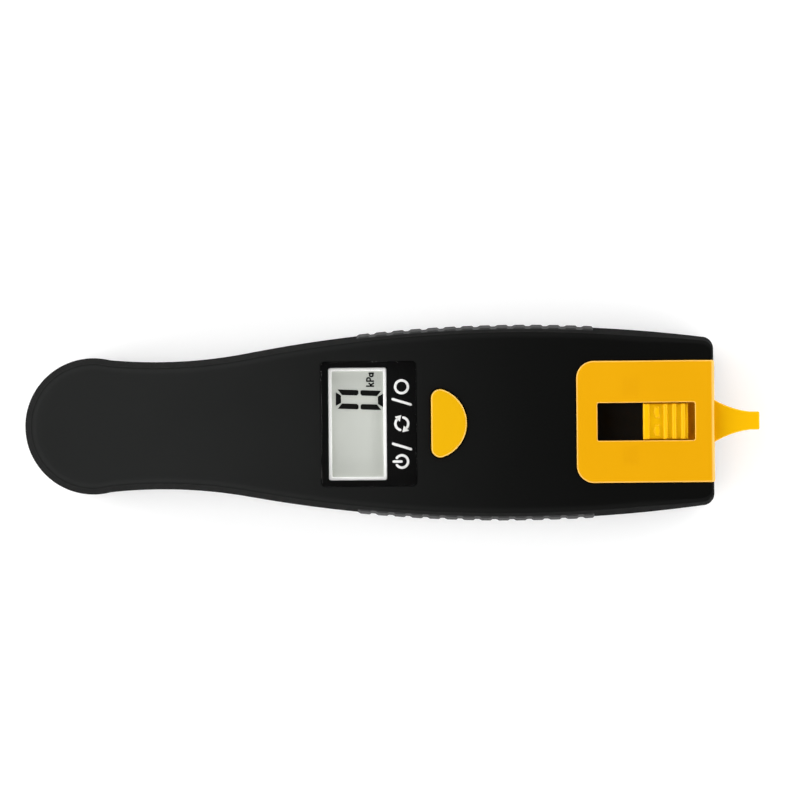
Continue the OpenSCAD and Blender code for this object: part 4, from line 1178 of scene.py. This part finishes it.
def probe_outline():
    """The slider from above, against the clock, and each point's outward direction from its neighbours."""
    end, tip_half = slider_high[0], FLARE[2][1]
    tip = arc(end - TIP_R, tip_half - TIP_R, TIP_R, 90, 0, 6)
    half = np.concatenate([
        line((PAD_AT + 0.1, SLAB_HALF), (SHOULDER, SLAB_HALF), 14),
        line((SHOULDER, SLAB_HALF - 0.4), (SHOULDER, NECK_HALF + 0.2), 5),
        line((SHOULDER + 0.2, NECK_HALF), (NOSE, NECK_HALF), 6),
        flare(),
        line(FLARE[2] + [0.25, 0], tip[0] - [0.15, 0], 5),
        tip,
        line((end, tip_half - TIP_R - 0.4), (end, 0.3), 4),
    ])
    points = np.concatenate([half * [1, -1], half[::-1]])
    along = np.roll(points, -1, 0) - np.roll(points, 1, 0)
    along /= np.linalg.norm(along, axis=1)[:, None]
    return points, np.stack([along[:, 1], -along[:, 0]], -1)


points, away = probe_outline()
under_edge = [(i, SLAB_LOW + SLAB_TOP - z) for i, z in round_over(0.2, SLAB_TOP, 4)][::-1]
slab_shape = solid([rim(points, away, round_over(0.35, SLAB_TOP, 6) + under_edge)], spacing=1.2)


# %% Build the thumb pad
def rib(x, at, radius):
    """The upper half of a round bar that lies across."""
    return np.sqrt(np.clip(radius**2 - (x - at) ** 2, 0, None))


def patch(x, y, at, low, high, point):
    """An arrow head as a soft plateau: a band along x whose rear edge is pointed in the middle."""
    middle = (low + high) / 2
    back = at - 0.75 + point * np.abs(np.abs(y) - middle) / (high - low)
    inside_x = smooth((x - back) / 0.35) * (1 - smooth((x - at - 0.45) / 0.35))
    inside_y = smooth((np.abs(y) - low) / 0.3) * (1 - smooth((np.abs(y) - high + 0.3) / 0.3))
    return inside_x * inside_y


def pad_height(x, y):
    """The pad's top: level, with step, arrow heads and ribs added, and rounded off at all edges."""
    d = x - PAD_AT
    ribs = sum(rib(d, PAD_LEN - RIB_FIRST - i * RIB_PITCH, RIB_R) for i in range(3))
    step = (slider_high[2] - PAD_TOP) * (1 - smooth((d - 1.15) / 0.35))
    relief = np.maximum(ribs, step) + 0.28 * patch(d, y, 3.0, 0.7, 3.3, 0.9)
    room = np.minimum(np.minimum(d, PAD_LEN - d), PAD_HALF - np.abs(y))
    edge = np.clip(room / PAD_R, 0, 1)
    return PAD_TOP + relief - PAD_R * (1 - np.sqrt(1 - (1 - edge) ** 2)) - 0.3 * relief * (1 - edge)


def pad_block(nx=210, ny=120):
    """A closed block: each section across runs over the top and returns along the flat underside.

    The sections stand closer together near both ends: their places average an even row and a cosine row.
    """
    eased = (1 - np.cos(np.linspace(0, np.pi, nx))) / 2
    x = PAD_AT + PAD_LEN * eased * 0.5 + PAD_LEN * np.linspace(0, 0.5, nx)
    y = np.linspace(-PAD_HALF, PAD_HALF, ny)
    gx, gy = np.meshgrid(x, y, indexing="ij")
    over = np.stack([gx, gy, pad_height(gx, gy)], -1)
    below = np.stack([gx, gy, np.full_like(gx, SLAB_TOP - 0.1)], -1)[:, ::-1]
    return tube(np.concatenate([over, below], 1))


slider = join(slab_shape, pad_block())
piece("slider_yellow", slider, yellow_slider, "probe", "depth_slider", crisp=40)

# %% [markdown]
# # The battery door
# A flush plate in the underside of the handle, with a row of grip ridges near the end that opens, and a
# hinge bar along the other. The bar is a little thinner past the door's sides, where the housing holds it.

# %% Build the door
HINGE_AT = door_high[0] - 0.8
DOOR_LOW, DOOR_HIGH, DOOR_HALF = door_low[2], door_high[2], BAY_HALF - 0.1
RIDGES, RIDGE_PITCH, RIDGE_HALF = 5, 1.5, 6.5


def down_facing(shape):
    """Turns a shape that was drawn with its finished side up, so that it faces down at the same heights."""
    verts, faces = shape
    turned = verts * [1, -1, -1] + [0, 0, DOOR_LOW + DOOR_HIGH]
    return outward((turned, faces))


def bar_section(radius, y):
    """A circle of 24 points about the hinge axis, at y along it."""
    circle = arc(HINGE_AT, (DOOR_LOW + DOOR_HIGH) / 2, radius, 0, 360, 25)[:-1]
    return np.column_stack([circle[:, 0], np.full(24, y), circle[:, 1]])


def ridge(x):
    """One grip ridge across the door, at x."""
    return ribbon(line((x, -RIDGE_HALF), (x, RIDGE_HALF)), 0.7, DOOR_HIGH - 0.1, DOOR_HIGH + 0.15)


door_outline = box_outline((door_low[0], -DOOR_HALF), (HINGE_AT, DOOR_HALF), 0.4)
plate = down_facing(slab(door_outline, DOOR_LOW, DOOR_HIGH, 0.2))
ridges = down_facing(join(*(ridge(door_low[0] + 2.4 + RIDGE_PITCH * i) for i in range(RIDGES))))
bar_half = [(0.7, 11.7), (0.7, 10.95), (0.8, DOOR_HALF)]
bar_rows = [(radius, -y) for radius, y in bar_half] + bar_half[::-1]
bar = tube(np.stack([bar_section(radius, y) for radius, y in bar_rows]))
piece("door_back", join(plate, ridges, bar), black_shell, "door", "battery_door", crisp=35)

# %% [markdown]
# # Floor, light and camera
# The floor is plain and pale. A lamp overhead would shine in the flat top, so the sky of this studio is
# bright low down and dark overhead, as if white screens stood all round. One more screen stands towards the
# handle, whose face leans to it, and lifts it a little over the head. All measures here are in metres.

# %% The floor
def plain(name, colour, roughness, glow):
    """One even colour, as paper lit through from below has, so that the object's shadow stays faint."""
    f = Finish(name, Base_Color=(*colour, 1), Roughness=roughness, Specular_IOR_Level=0.2,
               Emission_Color=(1, 1, 1, 1), Emission_Strength=glow)
    return f.material


FLOOR_HALF, FLOOR_Z = 3.0, -0.0002
mesh = bpy.data.meshes.new("floor")
corners = [(x * FLOOR_HALF, y * FLOOR_HALF, FLOOR_Z) for x, y in ((-1, -1), (1, -1), (1, 1), (-1, 1))]
mesh.from_pydata(corners, [], [(0, 1, 2, 3)])
mesh.materials.append(plain("floor_pale", (0.93, 0.93, 0.93), 0.8, 0.14))
floor = put("floor", mesh)
floor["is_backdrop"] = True

# %% The light
SCREENS, OVERHEAD = 3.9, 0.02
FADE_START, FADE_END = 0.33, 0.80
world = bpy.data.worlds.new("studio")
bpy.context.scene.world = world
world.use_nodes = True
nodes, links = world.node_tree.nodes, world.node_tree.links
where = nodes.new("ShaderNodeTexCoord")
split = nodes.new("ShaderNodeSeparateXYZ")
fade = nodes.new("ShaderNodeMapRange")
fade.interpolation_type = "SMOOTHSTEP"
for socket, value in zip(fade.inputs[1:5], (FADE_START, FADE_END, SCREENS, OVERHEAD)):
    socket.default_value = value
nodes["Background"].inputs["Color"].default_value = (1, 1, 1, 1)
links.new(where.outputs["Generated"], split.inputs[0])
links.new(split.outputs["Z"], fade.inputs[0])
links.new(fade.outputs[0], nodes["Background"].inputs["Strength"])


def lamp(name, place, aim, size, power):
    """A square soft light at place, which looks at aim. All lengths are in metres."""
    data = bpy.data.lights.new(name, "AREA")
    data.shape, data.size, data.energy = "SQUARE", size, power
    thing = put(name, data)
    place, aim = Vector(place), Vector(aim)
    thing.location = place
    thing.rotation_euler = (aim - place).to_track_quat("-Z", "Y").to_euler()


lamp("handle_screen", (-0.34, 0, 0.52), (-0.06, 0, 0.01), 0.3, 0.9)
bpy.context.scene.view_settings.view_transform = "Standard"
print("floor and light ready")

# %% The camera
FRAME_WIDTH, DISTANCE = 0.176, 5.0
eye = bpy.data.cameras.new("view")
eye.lens = 36 * DISTANCE / FRAME_WIDTH
eye.clip_end = 10
view = put("view", eye)
view.location = (0.0018, 0.0052, DISTANCE + 0.012)
view.rotation_euler = (0, 0, np.radians(-0.515))
bpy.context.scene.camera = view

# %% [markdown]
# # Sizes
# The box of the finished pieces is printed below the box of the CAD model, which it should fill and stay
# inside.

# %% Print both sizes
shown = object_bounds()
for label, corners in (("CAD", cad_bounds), ("finished", shown)):
    print(label, *(f"{a / MM:.2f} to {b / MM:.2f} mm" for a, b in zip(*corners)))
